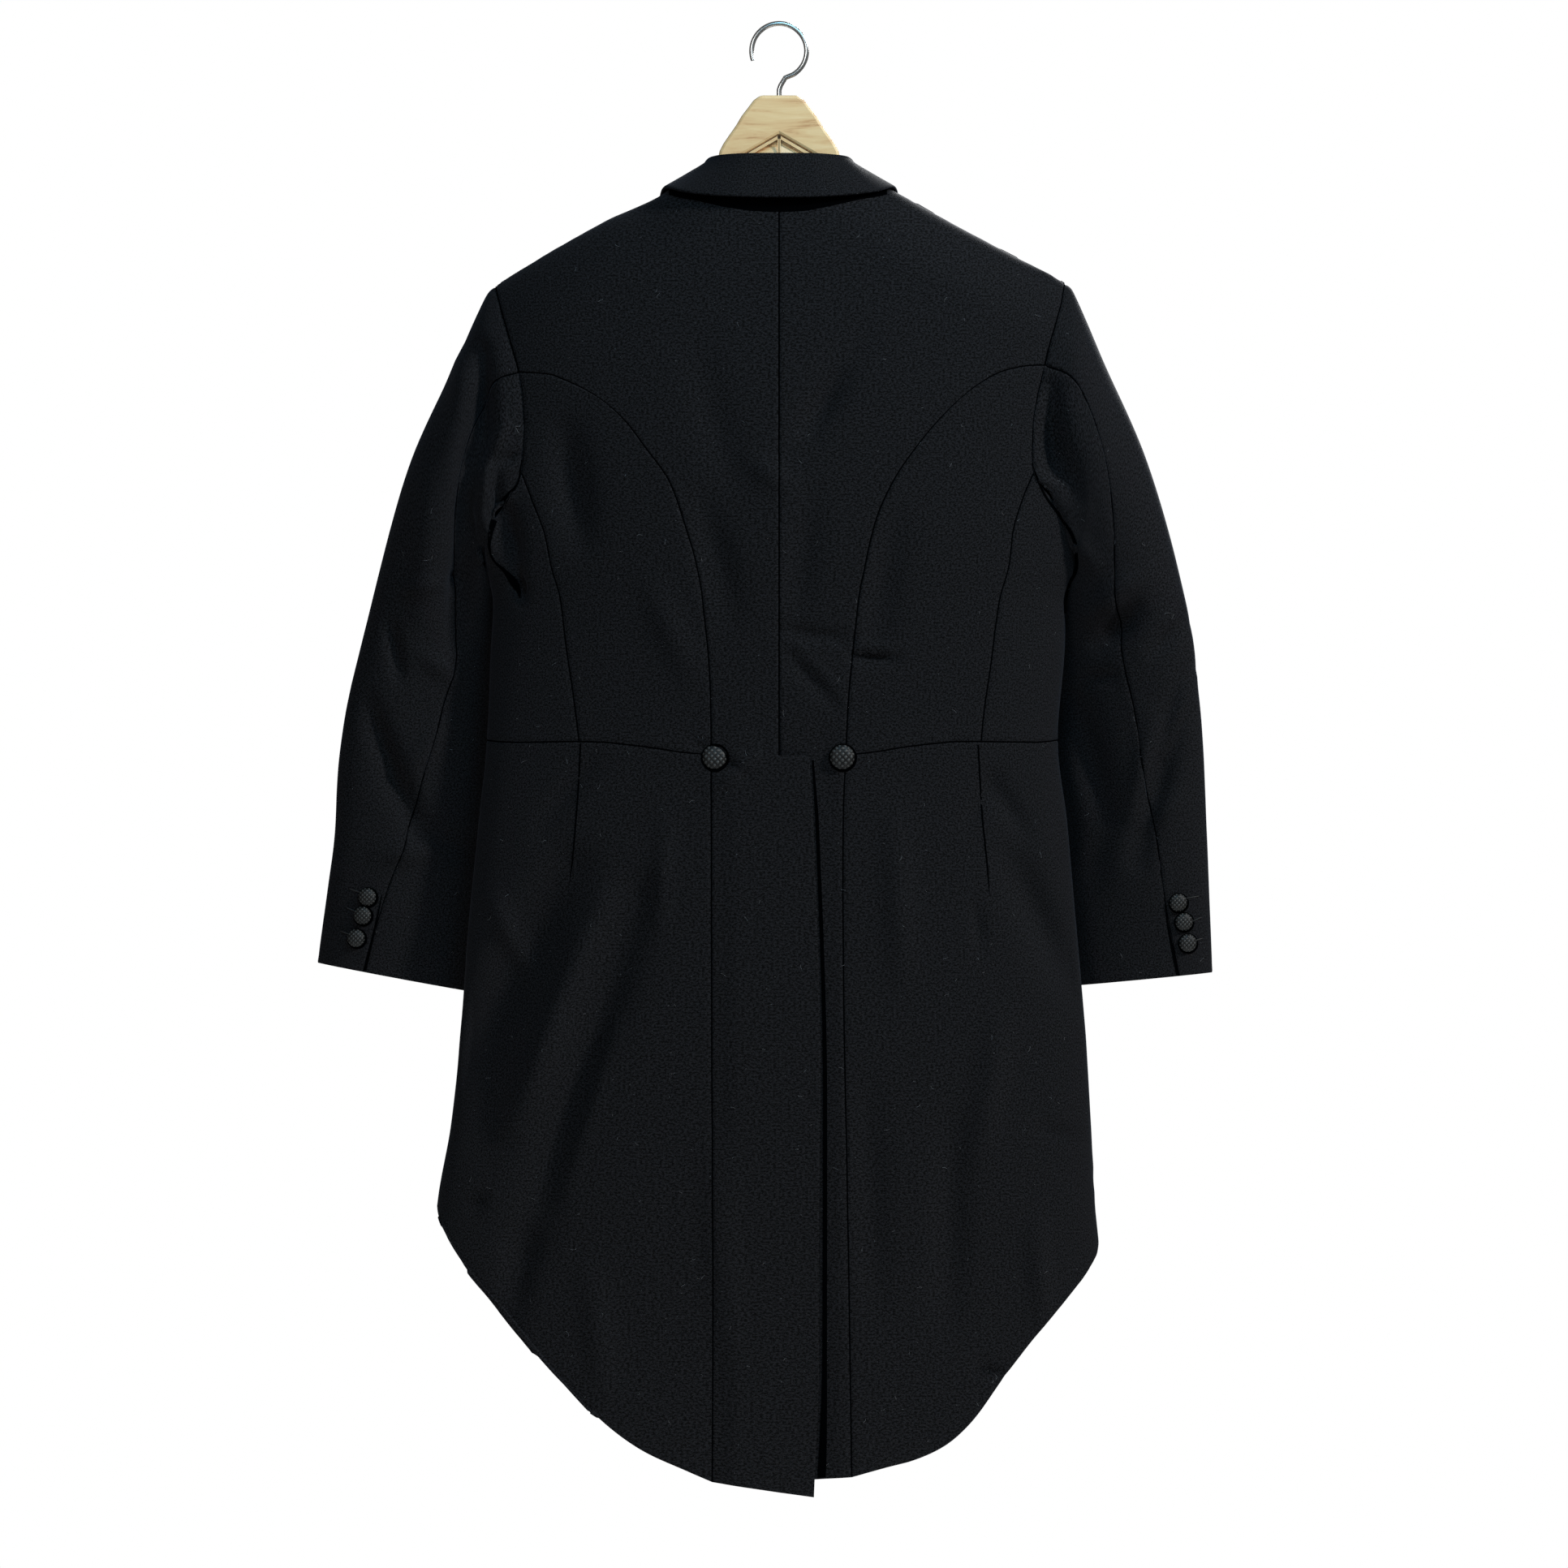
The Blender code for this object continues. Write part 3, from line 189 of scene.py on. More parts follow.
# Largest folds: face, from (x, drop) to (x, drop), width, height (less than 0 is a trough).
BODY_FOLDS = table("""
    -1 -65 263 -34 384 16 -3; -1 63 255 12 346 16 -3; -1 -170 330 -159 411 18 -3; -1 -168 677 -246 826 22
    -8; -1 -159 735 -192 862 15 3.5; -1 -111 694 -203 973 20 -6; -1 -203 973 -216 1029 14 -3; -1 -222 800
    -235 900 14 -4; -1 185 666 231 764 18 -3.5; -1 138 880 135 1030 16 -2.5; 1 -150 640 -215 860 20 -5; 1
    140 650 205 850 20 -4.5; 1 -120 330 -95 470 18 -2.5; 1 118 320 92 460 18 -2.5""")
SLEEVE_FOLDS = table("""
    -1 -243 290 -246 390 14 -4.5; -1 -246 390 -256 484 14 -5; -1 -291 411 -303 480 12 -3; -1 -324 590 -276
    656 13 -4.5; -1 -276 656 -244 658 12 -4; -1 218 328 236 376 13 -3.5; -1 256 492 284 470 12 -5; -1 327
    520 287 666 12 -3; -1 239 540 265 630 12 -4.5; -1 265 630 250 690 12 -4; 1 -262 470 -330 520 13 -4; 1
    -250 560 -330 590 12 -4.5; 1 258 480 320 520 13 -4; 1 250 575 318 600 12 -4.5""")

# Where the panels' rows lie along their edges, as shares of length; seams share them on both sides.
SHOULDER_SHARES = [0, 0.2, 0.4, 0.6, 0.8, 0.975, 1]
ARM_SHARES = [0, 0.006, 0.02, 0.04, 0.065, 0.095, 0.13, 0.165]
CHEST_SHARES = [0, 0.003, 0.02, 0.06, 0.13, 0.23, 0.36, 0.5, 0.65, 0.82, 1]
SEAM_SHARES = [0, 0.03, 0.065, 0.1, 0.14, 0.185, 0.25, 0.33, 0.42, 0.51, 0.6, 0.69, 0.78, 0.87, 0.95, 1]
TAIL_SHARES = [0, 0.012, 0.08, 0.17, 0.27, 0.37, 0.47, 0.57, 0.67, 0.77, 0.87, 0.985, 1]
VENT_SHARES = [0, 0.5, 0.93, 1]         # across the strips that lap at the vent
SIDE_SHARES = [0, 0.1, 0.25, 0.43, 0.62, 0.81, 1]
SEAMS = {"back": (BACK_SEAM, SEAM_SHARES), "side": (SIDE_SEAM, SIDE_SHARES),
         "tail": (TAIL_SEAM, TAIL_SHARES)}
SEAM_TURNS = 5              # point of the back seam where it has turned downwards
CHEST_CELLS = 7
LAPEL_ROWS, LAPEL_COLUMNS = 12, 6
COLLAR_STATIONS = 13        # on each side
SIDE_FADE = 0.16            # quarter turns over which folds die out towards the side
CREASE_FADE = 0.14          # the same for the creases
FOLD_END = 0.45             # share of a fold's height left at its two ends
SLEEVE_FADE = 9.0           # how far from a sleeve's middle plane its creases are at full height
CELLS = 8                   # fine cells in each cell of the solids' grids
SEWN = (0.75, 1.4)          # depth and width of the groove at a sewn edge
FREE = (0.35, 0.8)          # the same at a free edge
PUCKER = (1.0, 14.0)        # share and reach of the puckers along an edge
# Wide bumps, small bumps and puckers: height, width, length, shift across and along, seed.
BODY_UNEVEN = [(0.55, 70, 85, 9, 3, 1), (0.16, 21, 27, 0, 0, 2), (0.28, 8, 11, 0, 0, 3)]
SLEEVE_UNEVEN = [(0.5, 45, 60, 5, 0, 7), (0.15, 17, 21, 0, 0, 8), (0.3, 8, 9, 0, 0, 9)]
COLLAR_UNEVEN = (0.3, 0.03, 0.02, 5)    # height, width and length in metres, seed
CHEST_DROP = 400.0          # the forepart's upper and lower grids meet at this drop on the break line
CENTRE_WAIST = 584.4        # drop of the waist at the centre back
FRONT_BELOW_RIDGE = 0.002   # the front's shoulder edge starts this far below the ridge

# Collar stations from the centre back to the gorge: seam (x, y, drop), fold, fall edge.
COLLAR = table("""
    0 -46.5 127 0 -39 104.6 0 -62 139; 24 -43.5 126.6 24 -37.5 104.4 28 -61 139.2; 46 -33 125.4 43 -28
    104.6 56 -54 138; 60.5 -16 121 54 -13 105.5 79 -38.5 134; 65 0 117 57.5 2 107.5 92.5 -9 129; 64 16 122
    59.5 17 114 96 19 134.6; 61.5 33 136 60.5 35 127 97 41 153; 58 45.5 152 59 49 144 96 54.5 172; 56 50.5
    163 57 54.5 157 93 60 184""")
FOLD_ROUND = 3.0            # half the width of the collar's fold
FOLD_DROP = 2.4             # how far below the top of the fold it is that wide
FOLD_HALF = 1.4             # half its width at the top
EDGE_SAG = [0, 0.8, 1.9]    # how far the fall's edge stands out and sags at the centre back
SAG_REACH = 50              # distance from the centre over which that dies out

WAIST_BUTTONS = [("left", -51.4, 585.6), ("right", 50.1, 585.6)]
CUFF_BUTTONS = {
    "left": table("""-330.2 697.5; -334.1 712.4; -339.3 730.6"""),
    "right": table("""319.8 702; 324.4 717.6; 327.6 734.5"""),
}
FRONT_BUTTON = (0.0, 584.0)

HOOK_FOOT = -56.2           # height of the stem's foot
HOOK_ARC = (-60, 201)       # degrees round its eye, from the stem to the tip
# Joints of the neck block: (x, drop) along its lower edge, drops of the joint between the arms.
VALLEY = [(-30, 105.4), (0, 88), (30, 105.4)]
UPRIGHT = (88.2, 106)
# Strips over them: distance from the middle plane, half width of the upright one, and how far
# below VALLEY the two edges of the other one lie.
JOINT_FILL, JOINT_SHADOW = (11.05, 1.2, 0, 3), (11.1, 0.3, -0.3, 0.3)

SIGN = {"left": -1.0, "right": 1.0}
TURN_SCALE = np.array([250.0, 1.0])     # a quarter turn counts as this many millimetres in a line's length

BUTTON_THICK = 5.0
SLEEVE_CELLS = 6
# Smaller creases: face, from (x, drop) to (x, drop), width, height (less than 0 is a trough).
BODY_CREASES = table("""
    -1 -168 677 -246 826 18 -2.4; -1 -140 700 -218 880 9 1.6; -1 -111 694 -203 973 14 -1.8; -1 -203 973
    -216 1029 12 -1.4; -1 185 666 231 764 13 -1.6; -1 138 880 135 1030 12 -1; -1 -170 330 -159 411 13
    -1.5; -1 -208 372 -224 384 6 0.9; -1 -228 386 -228 428 5 2; -1 -216 392 -210 432 7 -2.4; -1 -209 440
    -206 458 5 -3; -1 0 485 58 493 5 -1; -1 56 504 94 508 3.5 -1.5; -1 58 499 90 501 4 1; -1 6 503 44 543
    7 -0.8; -1 14 500 52 538 6 0.4; -1 -66 576 -26 600 5 -0.9; -1 -52 612 -20 586 6 0.9; -1 -20 352 6 372
    10 0.9; -1 -60 384 -40 470 14 -1.4; -1 47 287 23 325 9 -1.2; -1 25 384 12 470 13 -1; -1 -100 455 -70
    520 12 1; -1 92 400 74 500 13 -1.2; -1 148 640 176 600 6 -0.8; -1 168 604 198 647 8 -1.2; -1 157 706
    161 737 5 -1.1; -1 92 640 98 760 12 1.1; -1 176 800 160 900 12 1.3; -1 208 882 236 887 4 -1.1; -1 158
    1072 179 1078 4 -1.2; -1 205 960 212 1040 10 1.2; -1 -175 796 -208 882 9 1.4; -1 -130 800 -170 930 8
    1; -1 -246 945 -234 937 4 -1.1; -1 -228 700 -200 760 9 1.2; -1 -90 640 -96 720 8 0.8; -1 -150 1000
    -140 1090 12 1.1; -1 -50 900 -44 1050 12 1; -1 70 850 76 1020 13 -1; -1 -150 590 -190 640 8 -1; 1 -60
    480 -14 500 6 -1.2; 1 20 500 64 482 6 -1.2; 1 150 560 182 610 8 -1.1""")
SLEEVE_CREASES = table("""
    -1 -238 262 -234 345 9 -4.6; -1 -250 270 -250 330 10 1.4; -1 215 292 217 368 9 -3.2; -1 -322 560 -290
    648 8 -1.6; -1 -246 300 -248 400 10 -3; -1 -248 390 -258 490 10 -3; -1 -219 322 -233 352 5 1.5; -1
    -233 352 -238 392 5 1.8; -1 -238 392 -226 428 5 1.6; -1 -224 362 -222 412 4 -1.8; -1 -276 370 -288 470
    12 1.2; -1 216 326 234 378 10 -1.8; -1 256 492 284 470 9 -2; -1 252 470 276 452 9 1.6; -1 327 520 287
    666 9 -1.5; -1 300 560 284 630 9 1.3; -1 239 540 262 630 10 -1.4; -1 -262 447 -252 444 4 -1.4; -1 -300
    452 -262 446 5 1.2; -1 -222 352 -208 345 3.5 -1.3; -1 -285 505 -262 520 6 1.3; -1 -311 480 -303 522 6
    -1.8; -1 -270 560 -300 600 9 1.3; -1 -330 540 -310 600 9 -1.6; -1 -318 664 -276 660 9 1.6; -1 206 362
    222 372 5 1.2; -1 226 400 250 430 7 1.4; -1 262 452 296 440 6 1.2; -1 300 500 322 480 6 -1.6; -1 330
    522 308 582 5 1.8; -1 296 640 320 620 8 1.2; -1 270 520 246 524 5 -1.2; 1 -300 430 -262 450 7 -1.4; 1
    262 440 300 425 7 -1.4; 1 -310 640 -268 652 8 -1.4; 1 262 650 310 640 8 -1.4""")
# Darts of the skirts, along which black strips paint their shade, and the painted shadow band under the
# collar, as lines of (x, drop).
DARTS = {
    "left": table("""-158 575; -160 612; -164.5 666; -167.5 688"""),
    "right": table("""158.5 576; 162 634; 165.8 672; 167.7 696"""),
}
UNDER_COLLAR_SHADOW = table("""
    -88 131 137; -80 129 140; -65 130 143.5; -40 134 149.5; -18 135 152.4; 0 136 153; 18 135 152.4; 35 133
    149.5; 52 130 145.5; 66 128 142; 80 128 139; 86 130 137""")
# Worked buttonholes on the cuffs, from (x, drop) to (x, drop).
BUTTONHOLES = {
    "left": table("""-345 691 -336 694; -347 706 -339 710; -352 725 -344 728"""),
    "right": table("""325 699 337 697; 330 718 339 714; 333 733 340 731"""),
}
# Where the cuffs' vents open, as lines of (x, drop); a black strip along each paints the shade in the
# opening.
CUFF_VENTS = {
    "left": table("""-318.5 696; -325 725.4; -334 762"""),
    "right": table("""308.8 693.6; 311.4 717.6; 316.6 744.3; 321 764"""),
}

BODY_STRENGTH, SLEEVE_STRENGTH = 3.9, 3.8
# The deep folds where a sleeve bunches under the arm, their shade painted as a black strip: distance, drop
# and half width of that painted shade.
ARMHOLE_FOLDS = {
    "left": table("""
        -204.8 349 0.4; -207.6 367 0.7; -214.5 376 1.6; -223 388 3; -229 403 2.2; -231 417 1; -228 428
        0.8; -219 437 1.5; -211.5 446.5 3; -207.6 454 1.6; -206.6 459 0.3"""),
    "right": table("""
        200.9 352 0.4; 210 374.5 0.8; 225 396 1.1; 236 415 1.3; 237.5 432 1.4; 231.8 448 1.5; 228.3 464
        1.1; 229.5 484 0.4"""),
}
# Points along a fold's painted shade, along the painted shade of darts and cuff vents, along the tails'
# vent shadow, along the shoulder seam, and round a button's painted shadow.
FOLD_POINTS, LINE_POINTS, VENT_POINTS, SHOULDER_POINTS, BUTTON_SHADOW_POINTS = 60, 40, 140, 120, 33
UNDER_COLLAR_SHADOW_POINTS = (91, 7)           # along and down its shade
BAR_POINTS = (9, 7)                     # along and over a buttonhole's bar
EDGE_GAP = 0.5                          # between the left tail's edge and its shadow
# How far the black strips of painted shade lie off the cloth: on darts, elsewhere, and where the cloth
# opens.
DART_SHADE_LIFT, BAND_LIFT, OPEN_LIFT = 0.25, 0.3, 0.35
SEAM_HALF = 0.5             # half the width of the painted shade line along a seam
SEAM_LIFT = 0.3             # how far it lies off the cloth
SHOULDER_SUNK = 0.3 * MM    # how far the cloth in the shoulder seam lies below its edges
LINT_COUNT = 900
LINT_X, LINT_DROP = (-365, 350), (110, 1170)
LINT_LENGTHS = [0.5, 0.8, 2.0, 4.0]
LINT_HALF, LINT_LIFT = 0.05, 0.25   # half a fibre's width, how far it lies off the cloth
LINT_BEND = 1.6             # how far it turns at most, in radians
BAR_HALF, BAR_HEIGHT = 0.65, 0.75   # a buttonhole's stitched bar
# A button from the middle of its face to the middle of its back: share of radius, of height.
BUTTON_PROFILE = table("""
    0 1; 0.25 0.985; 0.5 0.93; 0.7 0.83; 0.85 0.69; 0.95 0.52; 1 0.36; 0.98 0.2; 0.9 0.08; 0.75 0.02;
    0 0""")
BUTTON_SIDES = 48
# How far the left lap stands out and the right one in, at the tails and at the fronts.
VENT_LAP = {"left": 1.7, "right": -1.5}
FRONT_LAP = {"left": 3.6, "right": -2.2}
# Slopes over which a lap grows downwards and towards the centre: start and run.
VENT_START, VENT_RUN, VENT_SIDE = (520, 64), (584, 580), (-52, 20)
VENT_SPREAD = 1.3           # how much more of it there is at the hem
FRONT_START, FRONT_SIDE = (450, 80), (-48, 30)
VENT_HALF = (0.3, 1.5)      # half the width of the painted shade in a cuff's vent, at its top and bottom
DART_SHADE_HALF = 0.6
VENT_SHADOW_DROPS = (588, 1160)
BUTTON_SHADOW_REACH = (0.3, 0.58)  # radii of the painted shadow ring round a button, as shares of its diameter
BUTTON_SHADOW_OFF = (0.6, 0.7)     # how far to the right and down it lies
# Where the left tail's edge ends, and how wide the gap's shadow beside it is: drop, width.
VENT_SHADOW = table("""
    590 1.6; 640 2.6; 850 3.2; 1060 3.6; 1150 6.5""")

PHOTO_WIDTH = 1255.8        # what the picture's width covers at the coat
PHOTO_CENTRE = (3.9, 607.1)
CAMERA_AWAY = 6000.0

WOOL = (0.0042, 0.0042, 0.0048)
WOOD = (0.80, 0.55, 0.27)
STEEL = (0.62, 0.62, 0.60)
# colour of the black strips that paint shade and shadow in seams, darts, vents, deep folds, under the
# collar and round the buttons
SHADE_BLACK = (0.0006, 0.0007, 0.0009)
SPECK = (0.05, 0.053, 0.056)
LINT = (0.16, 0.165, 0.175)
COVER = (0.012, 0.0123, 0.0118)
JOINT = (0.10, 0.05, 0.02)
FLOOR = (0.85, 0.85, 0.84)
SPECKS_LEFT_OUT = 0.72      # share of the cells of the cloth's pattern that have no speck
GRAIN_SCALE = (7.0, 60.0, 60.0)
# Colours from the lows of a pattern to its heights: place, colour; on the buttons' cover they are painted
# shade between the threads and painted highlight on their crowns.
COVER_SHADE_AND_HIGHLIGHT = [(0.08, (0.0005, 0.0005, 0.0005)), (0.6, (0.036, 0.037, 0.035))]
WOOD_SHADES = [(0.30, (0.50, 0.24, 0.09)), (0.42, (0.74, 0.47, 0.22)), (0.55, WOOD),
               (0.75, (0.88, 0.65, 0.36))]

FLOOR_HALF, FLOOR_LOW = 0.95, -1.35
MIDDLE = (0, 0, -0.6)
# Lights: name, place, what it points at, size, power, colour.
LIGHTS = [
    ("key", (2.7, -1.5, 1.3), MIDDLE, 0.5, 106, (1, 1, 1)),
    ("fill", (-1.2, -3.0, 0.4), MIDDLE, 1.2, 18.5, (1, 1, 1)),
    ("sky", (0.3, -1.2, 0.7), (0, 0, -0.35), 0.9, 11, (0.3, 0.72, 1.0)),
    ("front", (0.8, 3.0, 0.9), MIDDLE, 1.2, 150, (1, 1, 1)),
]


def joined(*parts):
    return np.stack(parts, axis=-1)


def smooth(xs, ys, at):
    """A cubic through points with rising xs, its slopes held back so that it never overshoots."""
    xs, ys, at = (np.asarray(values, float) for values in (xs, ys, at))
    steps = np.diff(xs)
    slopes = np.diff(ys) / steps
    slope = np.zeros_like(ys)
    slope[0], slope[-1] = slopes[0], slopes[-1]
    before, after = slopes[:-1], slopes[1:]
    same_way = before * after > 0
    total = np.where(same_way, before + after, 1.0)
    slope[1:-1] = np.where(same_way, 2 * before * after / total, 0.0)
    at = np.clip(at, xs[0], xs[-1])
    i = np.clip(np.searchsorted(xs, at, side="right") - 1, 0, len(xs) - 2)
    t = (at - xs[i]) / steps[i]
    near = ys[i] * (1 + 2 * t) * (1 - t) ** 2 + slope[i] * steps[i] * t * (1 - t) ** 2
    far = ys[i + 1] * t**2 * (3 - 2 * t) - slope[i + 1] * steps[i] * t**2 * (1 - t)
    return near + far


def column(rows, index, at):
    rows = np.asarray(rows, float)
    return smooth(rows[:, 0], rows[:, index], at)


def line_x(line, drop):
    """Distance from the centre of a line of (distance, drop), at some drops."""
    line = np.asarray(line, float)
    return smooth(line[:, 1], line[:, 0], drop)


def run_along(points):
    """Distance along a line at each of its points."""
    return np.cumsum(np.r_[0, np.linalg.norm(np.diff(points, axis=0), axis=1)])


def trace(points, shares):
    """Points at the given shares of the length of a smooth line."""
    points = np.asarray(points, float)
    length = run_along(points)
    at = np.asarray(shares) * length[-1]
    return np.stack([smooth(length, points[:, i], at) for i in range(points.shape[1])], axis=-1)


def half_width(sign, drop):
    return np.where(np.asarray(sign) < 0, column(RING, 1, drop), column(RING, 2, drop))


def turn_of(sign, face, distance, drop):
    """Quarter turns from the centre back of a point this far from the centre, on one face."""
    share = np.clip(np.asarray(distance, float) / half_width(sign, drop), -1, 1)
    turn = np.arcsin(share) * 2 / pi
    return sign * np.where(np.asarray(face) < 0, turn, 2 - turn)


def folds_at(folds, face, x, drop):
    """Height of the folds at a place, in millimetres."""
    total = np.zeros(np.broadcast(face, x, drop).shape)
    for fold_face, x0, drop0, x1, drop1, width, height in folds:
        run = np.array([x1 - x0, drop1 - drop0], float)
        along = ((x - x0) * run[0] + (drop - drop0) * run[1]) / (run @ run)
        held = np.clip(along, 0, 1)
        away = np.hypot(x - x0 - held * run[0], drop - drop0 - held * run[1])
        taper = FOLD_END + (1 - FOLD_END) * np.sin(pi * held)
        total += np.where(face * fold_face > 0, height * taper * np.exp(-((away / width) ** 2)), 0)
    return total


def ring_plan(turn, drop):
    """Where a ring passes, seen from above: x and y in millimetres."""
    angle = np.abs(turn) * pi / 2
    sign = np.where(turn < 0, -1.0, 1.0)
    x = sign * half_width(sign, drop) * np.sin(angle)
    depth = np.where(np.cos(angle) > 0, column(RING, 3, drop), column(RING, 4, drop))
    y = -np.sign(np.cos(angle)) * depth * np.abs(np.cos(angle)) ** SQUARENESS
    left, right = (ridge_drop(side, np.abs(x)) for side in SIGN)
    ridge = np.where(x < 0, left, right)
    below = np.clip((drop - ridge) / SHOULDER_ROUND, 0, 1)
    return x, y * np.sqrt(1 - (1 - below) ** 2)


def body_points(turn, drop, lift=0.0):
    """Points of the coat's outer face, in metres, raised by lift millimetres and by the folds."""
    turn, drop = np.broadcast_arrays(np.asarray(turn, float), np.asarray(drop, float))
    x, y = ring_plan(turn, drop)
    step = 0.004
    ahead, behind = ring_plan(turn + step, drop), ring_plan(turn - step, drop)
    along = joined(ahead[0] - behind[0], ahead[1] - behind[1])
    along /= np.maximum(np.linalg.norm(along, axis=-1, keepdims=True), 1e-9)
    face = np.where(np.abs(turn) < 1, -1, 1)
    inside = np.clip(np.abs(1 - np.abs(turn)) / SIDE_FADE, 0, 1)
    raised = lift + folds_at(BODY_FOLDS, face, x, drop) * inside**2 * (3 - 2 * inside)
    return joined(x + along[..., 1] * raised, y - along[..., 0] * raised, -drop) * MM


def coons(top, bottom, inner, outer):
    """A grid of (turn, drop) between four lines: top and bottom run from inner to outer."""
    columns = (lengths(top) + lengths(bottom)) / 2
    rows = (lengths(inner) + lengths(outer)) / 2
    u, v = columns[None, :, None], rows[:, None, None]
    ruled = (1 - v) * top[None] + v * bottom[None] + (1 - u) * inner[:, None] + u * outer[:, None]
    corners = ((1 - u) * (1 - v) * top[0] + u * (1 - v) * top[-1]
               + (1 - u) * v * bottom[0] + u * v * bottom[-1])
    return ruled - corners


def trace_turns(line, at):
    """trace() for a line of (turn, drop)."""
    return trace(np.asarray(line) * TURN_SCALE, at) / TURN_SCALE


def lengths(line):
    """Share of a (turn, drop) line's length at each of its points, a turn counted as 250 mm."""
    steps = np.linalg.norm(np.diff(line * TURN_SCALE, axis=0), axis=1)
    return np.concatenate([[0], np.cumsum(steps)]) / max(steps.sum(), 1e-9)


def on_body(side, face, line):
    """A line of (distance, drop) as (turn, drop)."""
    line = np.asarray(line, float)
    return joined(turn_of(SIGN[side], face, line[:, 0], line[:, 1]), line[:, 1])


def armhole(side):
    """The armhole as (turn, drop), from the shoulder down the back and up the front again."""
    rows = np.asarray(ARMHOLE)
    first = 1 if side == "left" else 3
    line = rows[:, first:first + 2].copy()
    line[0, 1] = ridge_drop(side, line[0, 0])
    return on_body(side, rows[:, 0], line)


def ridge_drop(side, distance):
    return column(SHOULDER[side], 1, distance)


def shoulder_line(side, face, start=None):
    """The shoulder seam from the neck, or from nearer the middle, to the armhole, as (turn, drop)."""
    end = ARMHOLE[0][1 if side == "left" else 3]
    distance = NECK_WIDTH + (end - NECK_WIDTH) * np.array(SHOULDER_SHARES)
    if start is not None:
        distance = np.concatenate([[start], distance])
    drop = ridge_drop(side, distance) + (FRONT_BELOW_RIDGE if face > 0 else 0.0)
    return on_body(side, face, joined(distance, drop))


def neck_line(side, count):
    """The back of the neck, from the centre to the shoulder seam."""
    share = np.insert(np.linspace(0, 1, count + 1), 1, 0.03)
    drop = NECK_DROP + (ridge_drop(side, NECK_WIDTH) - NECK_DROP) * share**NECK_CURVE
    return on_body(side, -1, joined(NECK_WIDTH * share, drop))


def seam_line(kind, side):
    """The back, side or tail seam as (turn, drop)."""
    lines, shares = SEAMS[kind]
    return on_body(side, -1, trace(lines[side], shares))


def waist_line(side, start, end, count):
    """The waist seam between two points, as (turn, drop)."""
    turns = np.linspace(abs(start[0]), abs(end[0]), count)
    line = joined(SIGN[side] * turns, column(WAIST, 1, turns))
    share = np.linspace(0, 1, count)[:, None]
    return line + (start - line[0]) * (1 - share) + (end - line[-1]) * share


def waist_front(side):
    return on_body(side, 1, FRONT_EDGE[-1:])[0]


def rise(value, start, run):
    """Share of a slope that starts at a value and is whole after a run."""
    return np.clip((value - start) / run, 0, 1)


def vent_lift(side, place):
    """How far the tail stands out or in where the left laps the right, in millimetres."""
    x = np.abs(ring_plan(place[..., 0], place[..., 1])[0])
    below = rise(place[..., 1], *VENT_START)
    spread = 1 + VENT_SPREAD * rise(place[..., 1], *VENT_RUN)
    near = rise(-x, *VENT_SIDE)
    return VENT_LAP[side] * below**2 * near**2 * (3 - 2 * near) * spread


def front_lift(side, place):
    """How far the fronts stand out or in where the left laps the right, in millimetres."""
    x = SIGN[side] * ring_plan(place[..., 0], place[..., 1])[0]
    near = rise(-x, *FRONT_SIDE) * (np.abs(place[..., 0]) > 1)
    low = rise(place[..., 1], *FRONT_START)
    return FRONT_LAP[side] * near * low


def chest_line(side):
    """Across the chest from the armhole to the lapel's break line."""
    start = armhole(side)[AT_CHEST]
    end = break_line(side, CHEST_DROP, CHEST_DROP, [1])[0]
    return start + (end - start) * np.linspace(0, 1, CHEST_CELLS + 1)[:, None]


def break_line(side, start, until, shares):
    """The lapel's break line between two drops, as (turn, drop)."""
    drop = start + (until - start) * np.asarray(shares)
    return on_body(side, 1, joined(line_x(BREAK_LINE, drop), drop))


def sleeve_frame(side, row):
    """Middle, half width, half thickness and hind seam of the sleeve at a row of its table."""
    rows = np.asarray(SLEEVE[side], float)
    values = [smooth(np.arange(len(rows)), rows[:, i], row) for i in range(rows.shape[1])]
    outer_x, outer_drop, inner_x, inner_drop, outer_y, inner_y, thick, hind = values
    sign = SIGN[side]
    outer = joined(sign * outer_x, outer_y, -outer_drop)
    inner = joined(sign * inner_x, inner_y, -inner_drop)
    return (outer + inner) / 2, (outer - inner) / 2, thick, np.radians(hind)


def sleeve_point(frame, angle):
    middle, half, thick, _ = frame
    across = half * np.cos(angle)[..., None]
    return middle + across - joined(0 * angle, thick * np.sin(angle), 0 * angle)


def steps(count, cells=CELLS):
    """Fine positions along a line of so many points, closer together near its two ends."""
    even = np.arange((count - 1) * cells + 1) / cells
    near = np.linspace(0, 1, cells + 1) ** 1.7
    even[:cells + 1] = near
    even[-cells - 1:] = count - 1 - near[::-1]
    return even


def fine(line, cells=CELLS):
    """A smooth line through the same points, with many more of them."""
    line = np.asarray(line, float)
    at = steps(len(line), cells)
    index = np.arange(len(line))
    if line.ndim == 1:
        return smooth(index, line, at)
    return np.stack([smooth(index, line[:, i], at) for i in range(line.shape[1])], axis=-1)


def noise(u, v, seed):
    """Soft noise from -1 to 1 over a plane, its bumps about one unit across."""
    table = np.random.default_rng(seed).uniform(-1, 1, (61, 67))
    u, v = np.broadcast_arrays(u, v)
    i, j = np.floor(u).astype(int), np.floor(v).astype(int)
    s, t = u - i, v - j
    s, t = s * s * (3 - 2 * s), t * t * (3 - 2 * t)
    def at(a, b):
        return table[a % 61, b % 67]
    return ((at(i, j) * (1 - s) + at(i + 1, j) * s) * (1 - t)
            + (at(i, j + 1) * (1 - s) + at(i + 1, j + 1) * s) * t)


